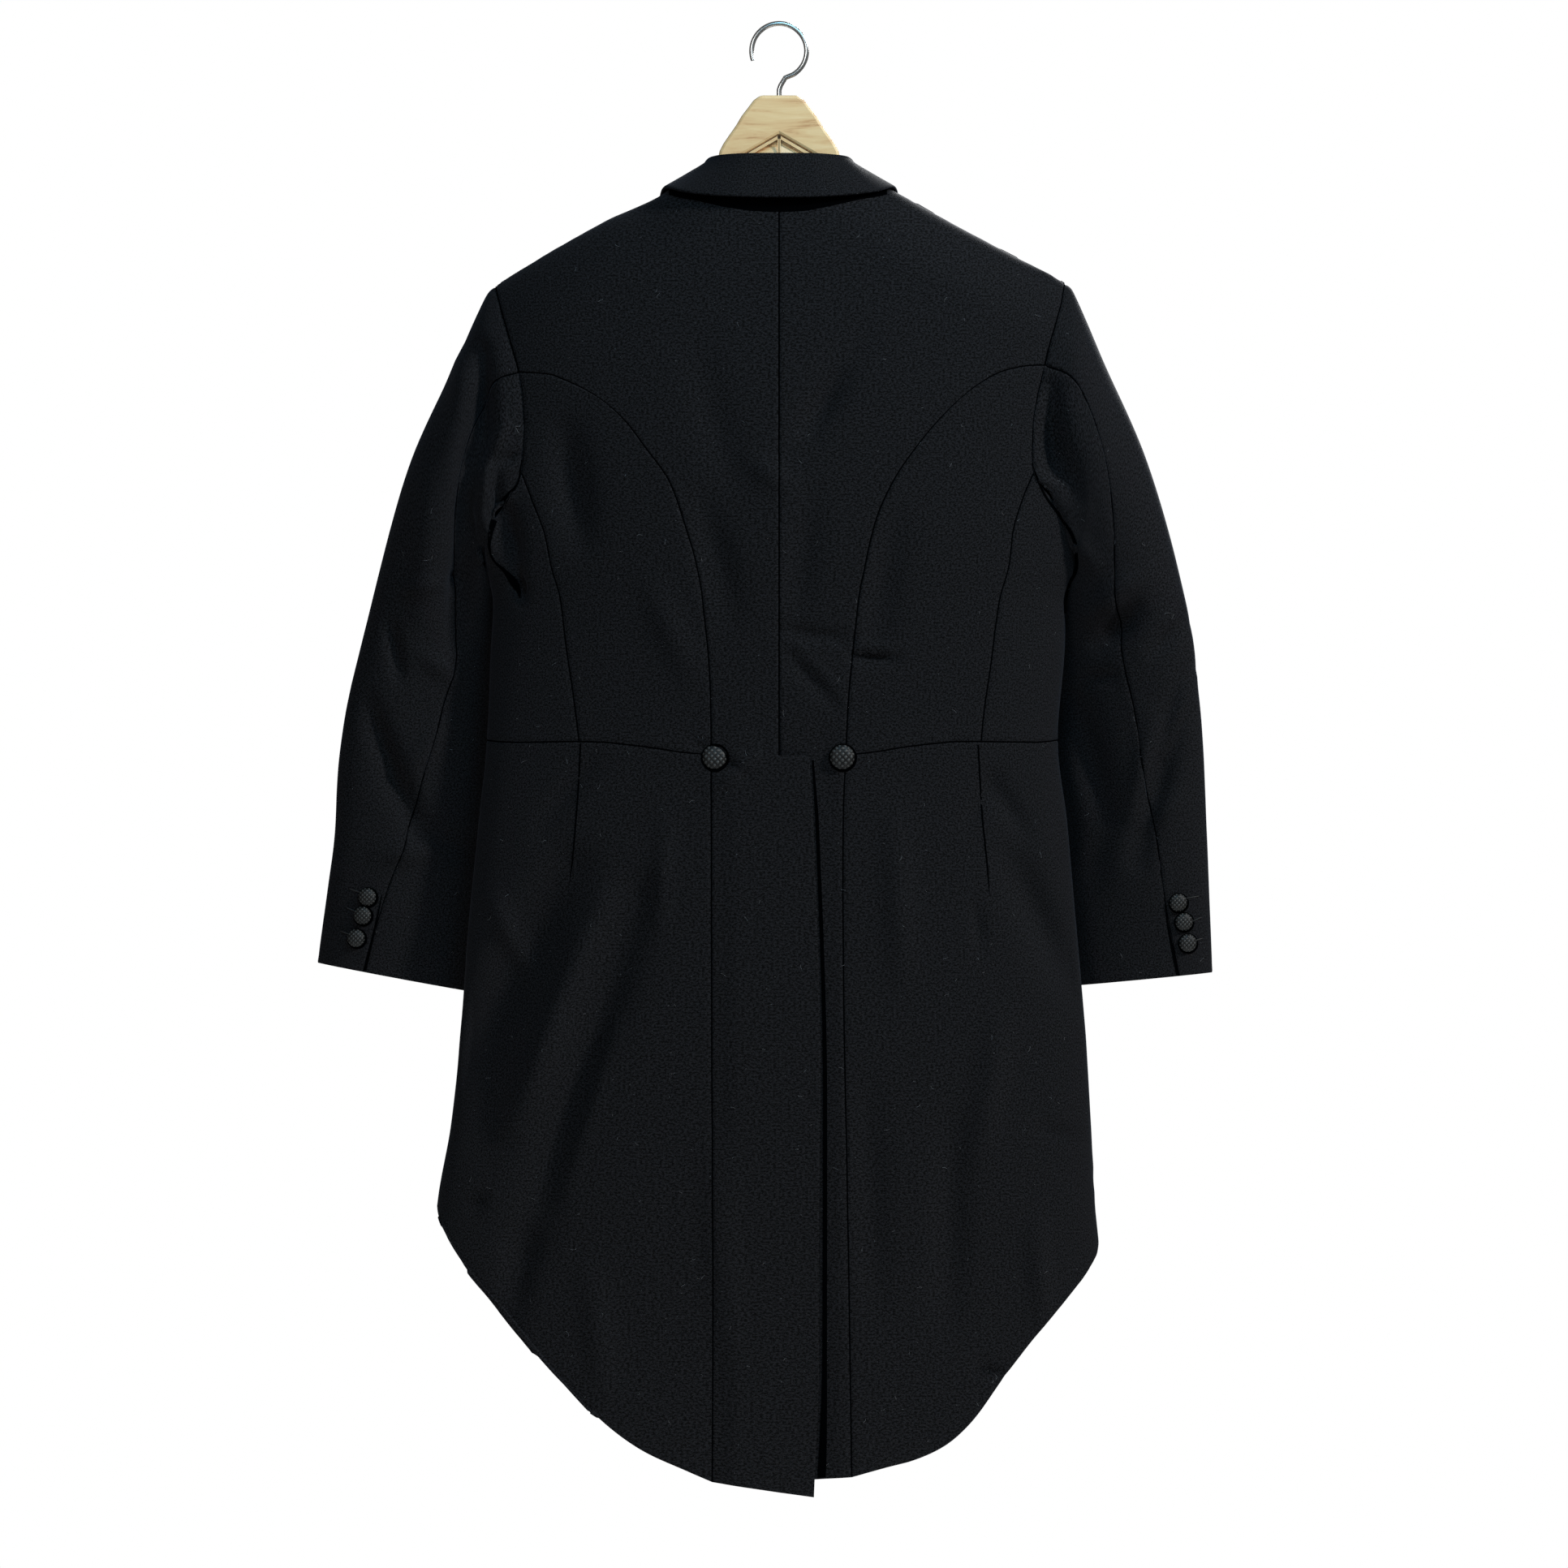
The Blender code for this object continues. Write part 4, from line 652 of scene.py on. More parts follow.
def from_edges(points, sewn):
    """How deep each point of a grid lies in the grooves along its edges, in millimetres.

    sewn gives SEWN, FREE or None for the top, bottom, first and last edge."""
    depth = np.zeros(points.shape[:2])
    for axis, ends in ((0, sewn[:2]), (1, sewn[2:])):
        run = np.linalg.norm(np.diff(points, axis=axis), axis=-1) / MM
        pad = [(0, 0), (0, 0)]
        pad[axis] = (1, 0)
        from_first = np.pad(np.cumsum(run, axis=axis), pad)
        from_last = from_first.max(axis=axis, keepdims=True) - from_first
        for away, kind in zip((from_first, from_last), ends):
            if kind:
                depth = np.maximum(depth, kind[0] * np.exp(-((away / kind[1]) ** 2)))
    return depth


def uneven(u, v, points, sewn, rows):
    """Height of a grid's small unevenness, with puckers near its sewn edges."""
    near = from_edges(points, [kind and PUCKER for kind in sewn])
    relief = 0
    for (height, width, length, across, along, seed), share in zip(rows, (1, 1, near)):
        relief = relief + height * share * noise(u / width + across, v / length + along, seed)
    return relief


def linked(name, data):
    """An object in the scene."""
    obj = bpy.data.objects.new(name, data)
    bpy.context.scene.collection.objects.link(obj)
    return obj


class Sheet:
    """One piece of cloth, gathered from grids of points that share their borders."""

    def __init__(self, name, material, outward):
        self.name, self.material, self.outward = name, material, outward
        self.points, self.raise_by, self.uvs, self.faces, self.count = [], [], [], [], 0
        self.grids = []

    def add(self, points, uv, sewn, relief):
        """A grid of points in metres, their place on the flat cloth, its edges and its relief."""
        rows, columns = points.shape[:2]
        index = np.arange(rows * columns).reshape(rows, columns) + self.count
        quads = [index[:-1, :-1], index[1:, :-1], index[1:, 1:], index[:-1, 1:]]
        faces = np.stack([quad.ravel() for quad in quads], axis=-1)
        flat = points.reshape(-1, 3)
        if np.sum(grid_normals(flat, faces - self.count) * self.outward(flat)) < 0:
            faces = faces[:, ::-1]
        self.faces.append(faces)
        self.grids.append(index)
        self.points.append(flat)
        self.raise_by.append((relief - from_edges(points, sewn)).ravel())
        self.uvs.append(uv.reshape(-1, 2))
        self.count += rows * columns

    def build(self):
        """Welds the grids, raises their points along the surface and makes the object."""
        points, faces = np.concatenate(self.points), np.concatenate(self.faces)
        raise_by, uvs = np.concatenate(self.raise_by), np.concatenate(self.uvs)
        _, first, place = np.unique(np.round(points * 1e6).astype(np.int64), axis=0,
                                    return_index=True, return_inverse=True)
        faces = place.reshape(-1)[faces]
        points, raise_by, uvs = points[first], raise_by[first], uvs[first]
        normals = grid_normals(points, faces)
        self.outer = points + normals * raise_by[:, None] * MM
        self.normals, self.place = normals, place.reshape(-1)
        data = bpy.data.meshes.new(self.name)
        data.from_pydata(self.outer.tolist(), [], faces.tolist())
        layer = data.uv_layers.new(name="cloth")
        corners = np.zeros(len(data.loops), np.int64)
        data.loops.foreach_get("vertex_index", corners)
        layer.data.foreach_set("uv", uvs[corners].astype(np.float32).ravel())
        data.shade_smooth()
        self.obj = finish_object(self.name, data, self.material, "black_wool")
        wall = self.obj.modifiers.new("wall", "SOLIDIFY")
        wall.thickness = WALL
        wall.offset = -1
        return self

    def border(self, grid, *where):
        """Places and normals along one edge of a grid, given as its row or column index."""
        index = self.place[self.grids[grid][where]]
        return self.outer[index], self.normals[index]


def grid_normals(points, faces):
    """Unit normals at the points of a mesh of quads."""
    corners = points[faces]
    across = np.cross(corners[:, 2] - corners[:, 0], corners[:, 3] - corners[:, 1])
    normals = np.zeros_like(points)
    for i in range(4):
        np.add.at(normals, faces[:, i], across)
    return normals / np.maximum(np.linalg.norm(normals, axis=1, keepdims=True), 1e-12)


def body_sheet(name, material):
    return Sheet(name, material, lambda points: points * [1, 1, 0])


def add_body(sheet, grid, sewn, lift):
    """A grid of (turn, drop) on the coat's body, with its small unevenness."""
    turn, drop = grid[..., 0], grid[..., 1]
    points = body_points(turn, drop, lift)
    width = turn * TURN_SCALE[0]
    relief = uneven(width, drop, points, sewn, BODY_UNEVEN)
    face = np.where(np.abs(turn) < 1, -1, 1)
    off_side = np.clip(np.abs(np.abs(turn) - 1) / CREASE_FADE, 0, 1) ** 2
    creases = folds_at(BODY_CREASES, face, points[..., 0] / MM, drop)
    relief = relief + BODY_STRENGTH * off_side * creases
    sheet.add(points, joined(width * MM, -drop * MM), sewn, relief)


def body_piece(name, material, *parts):
    """A sheet of the body from grids of (turn, drop), each with its edges and its lift."""
    made = body_sheet(name, material)
    for grid, sewn, lift in parts:
        add_body(made, grid, sewn, lift)
    return made.build()


def back(side, wool):
    """Neck to hem in one piece; below the waist it has a strip that laps or is lapped."""
    arm, seam = fine(armhole(side)), fine(seam_line("back", side))
    top = np.concatenate([fine(neck_line(side, 2)), fine(shoulder_line(side, -1))[1:]])
    outer = np.concatenate([arm[:AT_BACK_SEAM * CELLS + 1], seam[1:]])
    down = np.concatenate([ARM_SHARES, np.linspace(ARM_SHARES[-1], 1, len(SEAM_SHARES))[1:]])
    rows = np.concatenate([steps(len(ARMHOLE))[:AT_BACK_SEAM * CELLS + 1],
                           AT_BACK_SEAM + steps(len(SEAM_SHARES))[1:]])
    down = smooth(np.arange(len(down)), down, rows)
    inner = joined(np.zeros(len(outer)), NECK_DROP + (CENTRE_WAIST - NECK_DROP) * down)
    across = lengths(top)[:, None]
    waist = np.array([0, CENTRE_WAIST])
    upper = coons(top, waist + (outer[-1] - waist) * across, inner, outer)

    seam = fine(seam_line("tail", side))
    centre = joined(np.zeros(len(seam)),
                    CENTRE_WAIST + (TAIL_HEM[side][0][1] - CENTRE_WAIST) * lengths(seam))
    edge = on_body(side, -1, trace(VENT_EDGE[side], lengths(seam)))
    edge[0, 1] = centre[0, 1]
    tail = centre[:, None] + (seam - centre)[:, None] * across[None]
    reach = fine(VENT_SHARES)[:, None]
    lapped = centre[:, None] + (edge - centre)[:, None] * reach[None]
    return body_piece(f"wool_back_{side}", wool,
                      (upper, (SEWN, None, SEWN, SEWN), vent_lift(side, upper)),
                      (tail, (None, FREE, None, SEWN), vent_lift(side, tail)),
                      (lapped, (FREE, FREE, None, FREE), vent_lift(side, lapped)))


def side_body(side, wool):
    """Between the curved back seam and the side seam, from the armhole to the waist."""
    seam, arm = fine(seam_line("back", side)), fine(armhole(side))
    turn = SEAM_TURNS * CELLS
    top, inner = seam[:turn + 1][::-1], seam[turn:]
    down = fine(seam_line("side", side))
    outer = np.concatenate([arm[AT_BACK_SEAM * CELLS:AT_SIDE_SEAM * CELLS + 1], down[1:]])
    bottom = fine(waist_line(side, inner[-1], outer[-1], SEAM_TURNS + 1))
    return body_piece(f"wool_side_body_{side}", wool, (coons(top, bottom, inner, outer), (SEWN,) * 4, 0.0))


def forepart(side, wool):
    """From the side seam round under the arm to the front, and up the chest to the shoulder."""
    arm, chest = fine(armhole(side)), fine(chest_line(side))
    front = np.concatenate([break_line(side, chest[-1, 1], BREAK_LINE[-1][1], np.linspace(0, 1, 6)),
                            [waist_front(side)]])
    inner = seam_line("side", side)
    bottom = fine(waist_line(side, inner[-1], front[-1], AT_CHEST - AT_SIDE_SEAM + CHEST_CELLS + 1))
    top = np.concatenate([arm[AT_SIDE_SEAM * CELLS:AT_CHEST * CELLS + 1], chest[1:]])
    lower = coons(top, bottom, fine(inner), fine(front))

    shoulder = fine(shoulder_line(side, 1, BREAK_LINE[0][0])[::-1])
    at = np.linspace(0, 1, CELLS + 1)[:, None]
    first = shoulder[:1] + (arm[-1] - shoulder[0]) * at
    arm_front = np.concatenate([first, arm[AT_CHEST * CELLS:-1][::-1]])
    front = break_line(side, shoulder[-1, 1], chest[-1, 1], fine(CHEST_SHARES))
    upper = coons(shoulder, chest, arm_front, front)
    return body_piece(f"wool_forepart_{side}", wool,
                      (lower, (None, SEWN, SEWN, FREE), front_lift(side, lower)),
                      (upper, (SEWN, None, SEWN, FREE), front_lift(side, upper)))


def skirt(side, wool):
    """From the tail seam round the side, cut away to the waist at the front."""
    inner = seam_line("tail", side)
    at_side_seam = seam_line("side", side)[-1]
    arm_cells = AT_CHEST - AT_SIDE_SEAM + CHEST_CELLS
    top = np.concatenate([fine(waist_line(side, inner[0], at_side_seam, SEAM_TURNS + 1)),
                          fine(waist_line(side, at_side_seam, waist_front(side), arm_cells + 1))[1:]])
    corner = np.array([[SIGN[side], SIDE_DROP[side]]])
    hem = np.concatenate([on_body(side, -1, trace(HEM[side], np.linspace(0, 1, HEM_POINTS))), corner])
    edge = np.concatenate([corner, on_body(side, 1, FRONT_EDGE)])[::-1]
    bottom = trace_turns(hem, lengths(top) ** HEM_CROWDING)
    outer = trace_turns(edge, fine(np.linspace(0, 1, len(inner))))
    grid = coons(top, bottom, fine(inner), outer)
    return body_piece(f"wool_skirt_{side}", wool, (grid, (SEWN, FREE, SEWN, FREE), front_lift(side, grid)))


def lapel(side, wool):
    """Folded out along the break line, lying on the forepart."""
    edge = trace(LAPEL_EDGE[side], np.linspace(0, 1, LAPEL_ROWS))
    drop = np.linspace(GORGE[0][1], edge[-1, 1] - LAPEL_TIP, LAPEL_ROWS)
    inner = joined(line_x(BREAK_LINE, drop), drop)
    across = np.linspace(0, 1, LAPEL_COLUMNS)
    top = trace(GORGE, across)
    bottom = inner[-1] + (edge[-1] - inner[-1]) * across[:, None]
    flat = [fine(on_body(side, 1, rows)) for rows in (top, bottom, inner, edge)]
    flat[0][0], flat[0][-1] = flat[2][0], flat[3][0]
    grid = coons(*flat)
    lift = front_lift(side, grid) + (WALL + LAP_GAP) / MM + LAPEL_ROLL
    return body_piece(f"wool_lapel_{side}", wool, (grid, (SEWN, FREE, FREE, FREE), lift))


def collar(wool):
    """Stand and fall in one band, folded over at the neck, round to both gorges."""
    half = trace(COLLAR, np.linspace(0, 1, (COLLAR_STATIONS - 1) * CELLS + 1))
    stations = np.concatenate([half[:0:-1] * ([-1, 1, 1] * 3), half])
    seam, fold, edge = (stations[:, i:i + 3] * [1, 1, -1] for i in (0, 3, 6))
    edge = edge - np.outer(np.exp(-((edge[:, 0] / SAG_REACH) ** 2)), EDGE_SAG) * (edge[:, 1:2] < 0)
    out = (edge - seam) * [1, 1, 0]
    out /= np.linalg.norm(out, axis=1, keepdims=True)
    drop_away = np.array([0, 0, -FOLD_DROP])
    inside, outside = fold - FOLD_ROUND * out + drop_away, fold + FOLD_ROUND * out + drop_away
    section = [seam, seam + (inside - seam) * 0.55, inside, fold - FOLD_HALF * out - [0, 0, 0.5],
               fold + FOLD_HALF * out - [0, 0, 0.5], outside, outside + (edge - outside) * 0.33,
               outside + (edge - outside) * 0.67, edge]
    grid = fine(np.stack(section).reshape(len(section), -1)).reshape(-1, len(stations), 3)
    grid = grid.transpose(1, 0, 2) * MM
    along, over = run_along(grid[:, -1]), run_along(grid[len(grid) // 2])
    uv = np.stack(np.meshgrid(along, over, indexing="ij"), axis=-1)
    made = body_sheet("wool_collar", wool)
    height, width, length, seed = COLLAR_UNEVEN
    relief = height * noise(uv[..., 0] / width, uv[..., 1] / length, seed)
    made.add(grid, uv, (FREE, FREE, SEWN, FREE), relief)
    return made.build()


def sleeve_tube(side):
    """The whole sleeve as rows of points round it, from the armhole's first point, in metres."""
    hole = body_points(*fine(armhole(side)).T) / MM
    closing = hole[-1] + (hole[0] - hole[-1]) * np.linspace(0, 1, CELLS + 1)[1:-1, None]
    hole = np.concatenate([hole, closing])
    start = sleeve_frame(side, 0.0)
    middle, half, thick, _ = start
    reach = hole - middle
    angle = np.unwrap(np.arctan2(-reach[:, 1] / thick, reach @ half / (half @ half)))
    angle -= 2 * pi * round(angle[0] / (2 * pi))
    off = hole - sleeve_point(start, angle)
    hind_at, front_at = AT_BACK_SEAM * CELLS, AT_FRONT_SEAM * CELLS
    count = len(hole)
    order = np.arange(front_at - count, front_at + 1)          # front seam, over the top, back again
    spread = np.where(order < 0, angle[order] - 2 * pi, angle[order])
    off = off[order]
    split = hind_at - (front_at - count)
    def even_shares(number):
        eased = (1 - np.cos(np.linspace(0, pi, number))) / 2
        return eased * CROWDING + np.linspace(0, 1, number) * (1 - CROWDING)
    over, under = even_shares(split + 1), even_shares(len(order) - split)
    tube = []
    rows = fine(SLEEVE_ROWS, SLEEVE_CELLS)
    for row in rows:
        frame = sleeve_frame(side, row)
        ease = np.clip(row / ARMHOLE_BLEND, 0, 1)
        ease = ease * ease * (3 - 2 * ease)
        hind = frame[3]
        even = np.concatenate([FRONT_SLEEVE_SEAM + (hind - FRONT_SLEEVE_SEAM) * over,
                               hind + (FRONT_SLEEVE_SEAM + 2 * pi - hind) * under[1:]])
        around = spread * (1 - ease) + even * ease
        points = sleeve_point(frame, around) + off * (1 - ease)
        face = -np.sign(np.sin(around))
        fold = folds_at(SLEEVE_FOLDS, face, points[:, 0], -points[:, 2]) * ease
        points[:, 1] += fold * face * np.abs(np.sin(around))
        tube.append(points)
    tube = np.array(tube)
    tube[:, -1] = tube[:, 0]
    settled = np.clip(1 - rows / (ARMHOLE_BLEND * 2), 0, 1)[:, None, None] ** 0.5
    settled[0] = 0
    for _ in range(SMOOTH_ROUNDS):
        ring = np.concatenate([tube[:, -2:-1], tube, tube[:, 1:2]], axis=1)
        mean = (ring[:, :-2] + ring[:, 2:]) / 2
        mean[1:-1] = (mean[1:-1] + (tube[:-2] + tube[2:]) / 2) / 2
        tube = tube + (mean - tube) * settled * 0.9
    return tube * MM, split


def sleeve(side, wool):
    """Top sleeve over the outer edge and under sleeve along the inner one."""
    tube, split = sleeve_tube(side)
    middles = tube.mean(axis=1)

    def outward(points):
        nearest = np.argmin(np.abs(points[:, None, 2] - middles[None, :, 2]), axis=1)
        return (points - middles[nearest]) * [1, 1, 0]

    made = []
    for name, grid in (("top", tube[:, :split + 1]), ("under", tube[:, split:])):
        across = np.cumsum(np.linalg.norm(np.diff(grid, axis=1), axis=-1), axis=1).mean(axis=0)
        down = np.cumsum(np.linalg.norm(np.diff(grid, axis=0), axis=-1), axis=0).mean(axis=1)
        uv = np.stack(np.meshgrid(-np.r_[0, down], np.r_[0, across], indexing="ij"), axis=-1)[..., ::-1]
        u, v = uv[..., 0] / MM, uv[..., 1] / MM
        sewn = (SEWN, FREE, SEWN, SEWN)
        relief = uneven(u, v, grid, sewn, SLEEVE_UNEVEN)
        beyond = (grid[..., 1] - middles[:, None, 1]) / MM
        face, off_side = np.sign(beyond), np.clip(np.abs(beyond) / SLEEVE_FADE, 0, 1) ** 2
        creases = folds_at(SLEEVE_CREASES, face, grid[..., 0] / MM, -grid[..., 2] / MM)
        relief = relief + SLEEVE_STRENGTH * off_side * creases
        sheet = Sheet(f"wool_{name}_sleeve_{side}", wool, outward)
        sheet.add(grid, uv, sewn, relief)
        made.append(sheet.build())
    return made


def node(tree, kind, **values):
    """A shader node; each value is a setting, an input's value or an output to link to it."""
    made = tree.nodes.new("ShaderNode" + kind)
    for key, value in values.items():
        if isinstance(value, bpy.types.NodeSocket):
            tree.links.new(value, made.inputs[key])
        elif key in made.inputs:
            made.inputs[key].default_value = value
        else:
            setattr(made, key, value)
    return made


def combine(tree, operation, first, second):
    """The outcome of a sum on a node's output and another output or a number."""
    made = node(tree, "Math", operation=operation)
    tree.links.new(first, made.inputs[0])
    if isinstance(second, float):
        made.inputs[1].default_value = second
    else:
        tree.links.new(second, made.inputs[1])
    return made.outputs[0]


def bump(tree, shader, height, strength, distance):
    made = node(tree, "Bump", Strength=strength, Distance=distance, Height=height)
    tree.links.new(made.outputs["Normal"], shader.inputs["Normal"])


def principled(name, colour, roughness, **values):
    made = bpy.data.materials.new(name)
    made.use_nodes = True
    shader = made.node_tree.nodes["Principled BSDF"]
    shader.inputs["Base Color"].default_value = (*colour, 1)
    shader.inputs["Roughness"].default_value = roughness
    for key, value in values.items():
        shader.inputs[key.replace("_", " ")].default_value = value
    return made, made.node_tree, shader


def ramp(tree, value, stops):
    made = node(tree, "ValToRGB", Fac=value)
    while len(made.color_ramp.elements) < len(stops):
        made.color_ramp.elements.new(0.5)
    for element, (place, colour) in zip(made.color_ramp.elements, stops):
        element.position, element.color = place, (*colour, 1)
    return made.outputs["Color"]


def wool_material():
    """Fine twill: slight mottling, a diagonal rib, and sparse pale lint."""
    made, tree, shader = principled("worsted_wool", WOOL, 0.9, Sheen_Weight=0.03, Sheen_Roughness=0.4,
                                    Specular_IOR_Level=0.1)
    shader.inputs["Sheen Tint"].default_value = (0.62, 0.74, 1.0, 1)
    uv = node(tree, "UVMap", uv_map="cloth").outputs["UV"]
    mottle = node(tree, "TexNoise", Vector=uv, Scale=690.0, Detail=5.0, Roughness=0.78).outputs["Fac"]
    dark, pale = (np.array(WOOL) * 0.05).tolist(), (np.array(WOOL) * 2.8).tolist()
    ground = ramp(tree, mottle, [(0.45, dark), (0.55, pale)])
    cells = node(tree, "TexVoronoi", Vector=uv, Scale=95.0).outputs
    speck = ramp(tree, cells["Distance"], [(0.02, (1, 1, 1)), (0.045, (0, 0, 0))])
    red = node(tree, "SeparateColor", Color=cells["Color"]).outputs[0]
    chosen = combine(tree, "GREATER_THAN", red, SPECKS_LEFT_OUT)
    mixed = node(tree, "Mix", data_type="RGBA", Factor=combine(tree, "MULTIPLY", speck, chosen))
    tree.links.new(ground, mixed.inputs[6])
    mixed.inputs[7].default_value = (*SPECK, 1)
    tree.links.new(mixed.outputs[2], shader.inputs["Base Color"])
    twill = node(tree, "TexWave", Vector=uv, bands_direction="DIAGONAL", Scale=470.0, Distortion=1.2,
                 Detail=1.0).outputs["Fac"]
    bump(tree, shader, combine(tree, "ADD", twill, mottle), 0.35, 0.00022)
    return made


def thread_material():
    """The buttons' cover: threads woven over and under each other, with painted shade between them and
    painted highlight on their crowns.
    """
    made, tree, shader = principled("woven_cover", COVER, 0.5, Specular_IOR_Level=0.3)
    turned = node(tree, "Mapping", Vector=node(tree, "TexCoord").outputs["UV"], Rotation=(0, 0, pi / 4))
    waves = [node(tree, "TexWave", Vector=turned.outputs["Vector"], bands_direction=way, Scale=0.9,
                  Distortion=0.5, Detail=1.0).outputs["Fac"] for way in ("X", "Y")]
    both = combine(tree, "MULTIPLY", *waves)
    tree.links.new(ramp(tree, both, COVER_SHADE_AND_HIGHLIGHT), shader.inputs["Base Color"])
    bump(tree, shader, both, 0.9, 0.0006)
    return made


def wood_material():
    """Pale varnished wood, its grain across the hanger with a few brown streaks."""
    made, tree, shader = principled("pale_wood", WOOD, 0.38, Coat_Weight=0.25, Coat_Roughness=0.2)
    place = node(tree, "Mapping", Vector=node(tree, "TexCoord").outputs["Object"], Scale=GRAIN_SCALE)
    grain = node(tree, "TexNoise", Vector=place.outputs["Vector"], Scale=2.6, Detail=6.0, Roughness=0.62,
                 Distortion=0.5).outputs["Fac"]
    tree.links.new(ramp(tree, grain, WOOD_SHADES), shader.inputs["Base Color"])
    bump(tree, shader, grain, 0.15, 0.0003)
    return made


def finish_object(name, data, material, slot, *nodes):
    obj = linked(name, data)
    data.materials.append(material)
    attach(obj, "root")
    if nodes:
        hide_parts(*nodes)
    return obj


def mesh_object(name, mesh, material, slot, *nodes, smoothed=True):
    """A finished object from a worked mesh."""
    data = bpy.data.meshes.new(name)
    mesh.to_mesh(data)
    mesh.free()
    if smoothed:
        data.shade_smooth()
    return finish_object(name, data, material, slot, *nodes)


def strips(name, lines, material, slot="black_wool", smoothed=True, turned=False):
    """One piece from strips of cloth, each given as rows of points across it."""
    mesh = bmesh.new()
    for rows in lines:
        rows = [[mesh.verts.new(point) for point in row] for row in rows]
        for near, far in zip(rows, rows[1:]):
            for i in range(len(near) - 1):
                mesh.faces.new((near[i], near[i + 1], far[i + 1], far[i]))
    if turned:
        bmesh.ops.recalc_face_normals(mesh, faces=mesh.faces)
    return mesh_object(name, mesh, material, slot, smoothed=smoothed)


def outer_tree(*sheets):
    """The outer faces of some sheets, to lay small things on."""
    points, polygons, count = [], [], 0
    for sheet in sheets:
        points += [Vector(point) for point in sheet.outer]
        polygons += [[count + index for index in face.vertices] for face in sheet.obj.data.polygons]
        count += len(sheet.outer)
    return BVHTree.FromPolygons(points, polygons)


def met(tree, x, drop, face):
    """Place and outward direction on the cloth seen from one face."""
    start = Vector((x * MM, face, -drop * MM))
    place, normal = tree.ray_cast(start, Vector((0, -face, 0)))[:2]
    return place, normal if place is None or normal.y * face > 0 else -normal


def button(name, diameter, place, outward, material, node_name):
    """A crowned button with a covered rim, rounded off behind."""
    radius, thick = diameter / 2 * MM, BUTTON_THICK * MM
    mesh = bmesh.new()
    layer = mesh.loops.layers.uv.new("cover")
    rings, turns = [], BUTTON_SIDES
    for share, height in BUTTON_PROFILE:
        count = 1 if share == 0 else turns
        rings.append([mesh.verts.new((share * radius * cos(2 * pi * i / count),
                                      share * radius * sin(2 * pi * i / count), height * thick))
                      for i in range(count)])
    for near, far in zip(rings, rings[1:]):
        for i in range(turns):
            j = (i + 1) % turns
            corners = [near[i % len(near)], far[i % len(far)], far[j % len(far)], near[j % len(near)]]
            mesh.faces.new(list(dict.fromkeys(corners)))
    for face in mesh.faces:
        for loop in face.loops:
            loop[layer].uv = (loop.vert.co.x / radius, loop.vert.co.y / radius)
    bmesh.ops.recalc_face_normals(mesh, faces=mesh.faces)
    spin = outward.to_track_quat("Z", "Y").to_matrix().to_4x4()
    bmesh.ops.transform(mesh, matrix=Matrix.Translation(place + outward * LAP_GAP) @ spin, verts=mesh.verts)
    return mesh_object(name, mesh, material, "covered_button", node_name)


def stitched_bars(name, tree, bars, material):
    """Short worked bars on the cloth, each from (x, drop) to (x, drop), as one piece."""
    lines = []
    for x0, drop0, x1, drop1 in bars:
        rows = []
        for t in np.linspace(0, 1, BAR_POINTS[0]):
            place, outward = met(tree, x0 + (x1 - x0) * t, drop0 + (drop1 - drop0) * t, -1)
            along = Vector((x1 - x0, 0, drop0 - drop1)).normalized()
            across = outward.cross(along).normalized()
            wide = BAR_HALF * MM * (0.55 + 0.45 * sin(pi * t) ** 0.4)
            rows.append([place + across * wide * cos(a) + outward * BAR_HEIGHT * MM * sin(a)
                         for a in np.linspace(0, pi, BAR_POINTS[1])])
        lines.append(rows)
    return strips(name, lines, material, turned=True)


def band(name, tree, rows, material, lift=BAND_LIFT):
    """A thin strip of painted shade lying on the back, from rows of points (x, drop) across it."""
    lines = []
    for row in rows:
        line, last = [], None
        for x, drop in row[::-1]:
            place, outward = met(tree, x, drop, -1)
            if place is not None:
                last = place + outward * lift * MM
            if last is not None:
                line.append(last)
        if len(line) == len(row):
            lines.append(line)
    return strips(name, [lines], material)


def tapered(stations):
    """Rows of three points across a curved line whose half width changes along it."""
    stations = np.array(stations)
    run = lengths(stations[:, :2])
    at = np.linspace(0, run[-1], FOLD_POINTS)
    x, drop, half = (smooth(run, values, at) for values in stations.T)
    across = joined(np.gradient(drop), -np.gradient(x))
    across *= (half / np.linalg.norm(across, axis=1))[:, None]
    return np.stack([joined(x, drop) + across * side for side in (-1, 0, 1)], axis=1)


def seam_lines(name, borders, material):
    """Thin black lines that paint the shade in the grooves along sewn edges."""
    lines = []
    for places, normals in borders:
        along = np.gradient(places, axis=0)
        across = np.cross(along, normals)
        across /= np.maximum(np.linalg.norm(across, axis=1, keepdims=True), 1e-12)
        middle = places + normals * SEAM_LIFT * MM
        lines.append([[point + s * side * SEAM_HALF * MM for s in (-1, 1)]
                      for point, side in zip(middle, across)])
    return strips(name, lines, material, smoothed=False)


def bridge(name, first, second, material):
    """Cloth that closes the shoulder seam between the edges of two sheets."""
    edges = [points[np.argsort(np.abs(points[:, 0]))] for points in (first, second)]
    reach = [np.abs(points[:, 0]) for points in edges]
    sign = np.sign(edges[0][-1, 0])
    x = np.linspace(max(r[0] for r in reach), min(r[-1] for r in reach), SHOULDER_POINTS)
    sides = [joined(x * sign, np.interp(x, r, points[:, 1]),
                    np.interp(x, r, points[:, 2]) - SHOULDER_SUNK)
             for r, points in zip(reach, edges)]
    count = len(x)
    faces = [(i, i + 1, count + i + 1, count + i) for i in range(count - 1)]
    data = bpy.data.meshes.new(name)
    data.from_pydata(np.concatenate(sides).tolist(), [], faces)
    layer = data.uv_layers.new(name="cloth")
    for loop in data.loops:
        layer.data[loop.index].uv = data.vertices[loop.vertex_index].co.xy
    return finish_object(name, data, material, "black_wool")


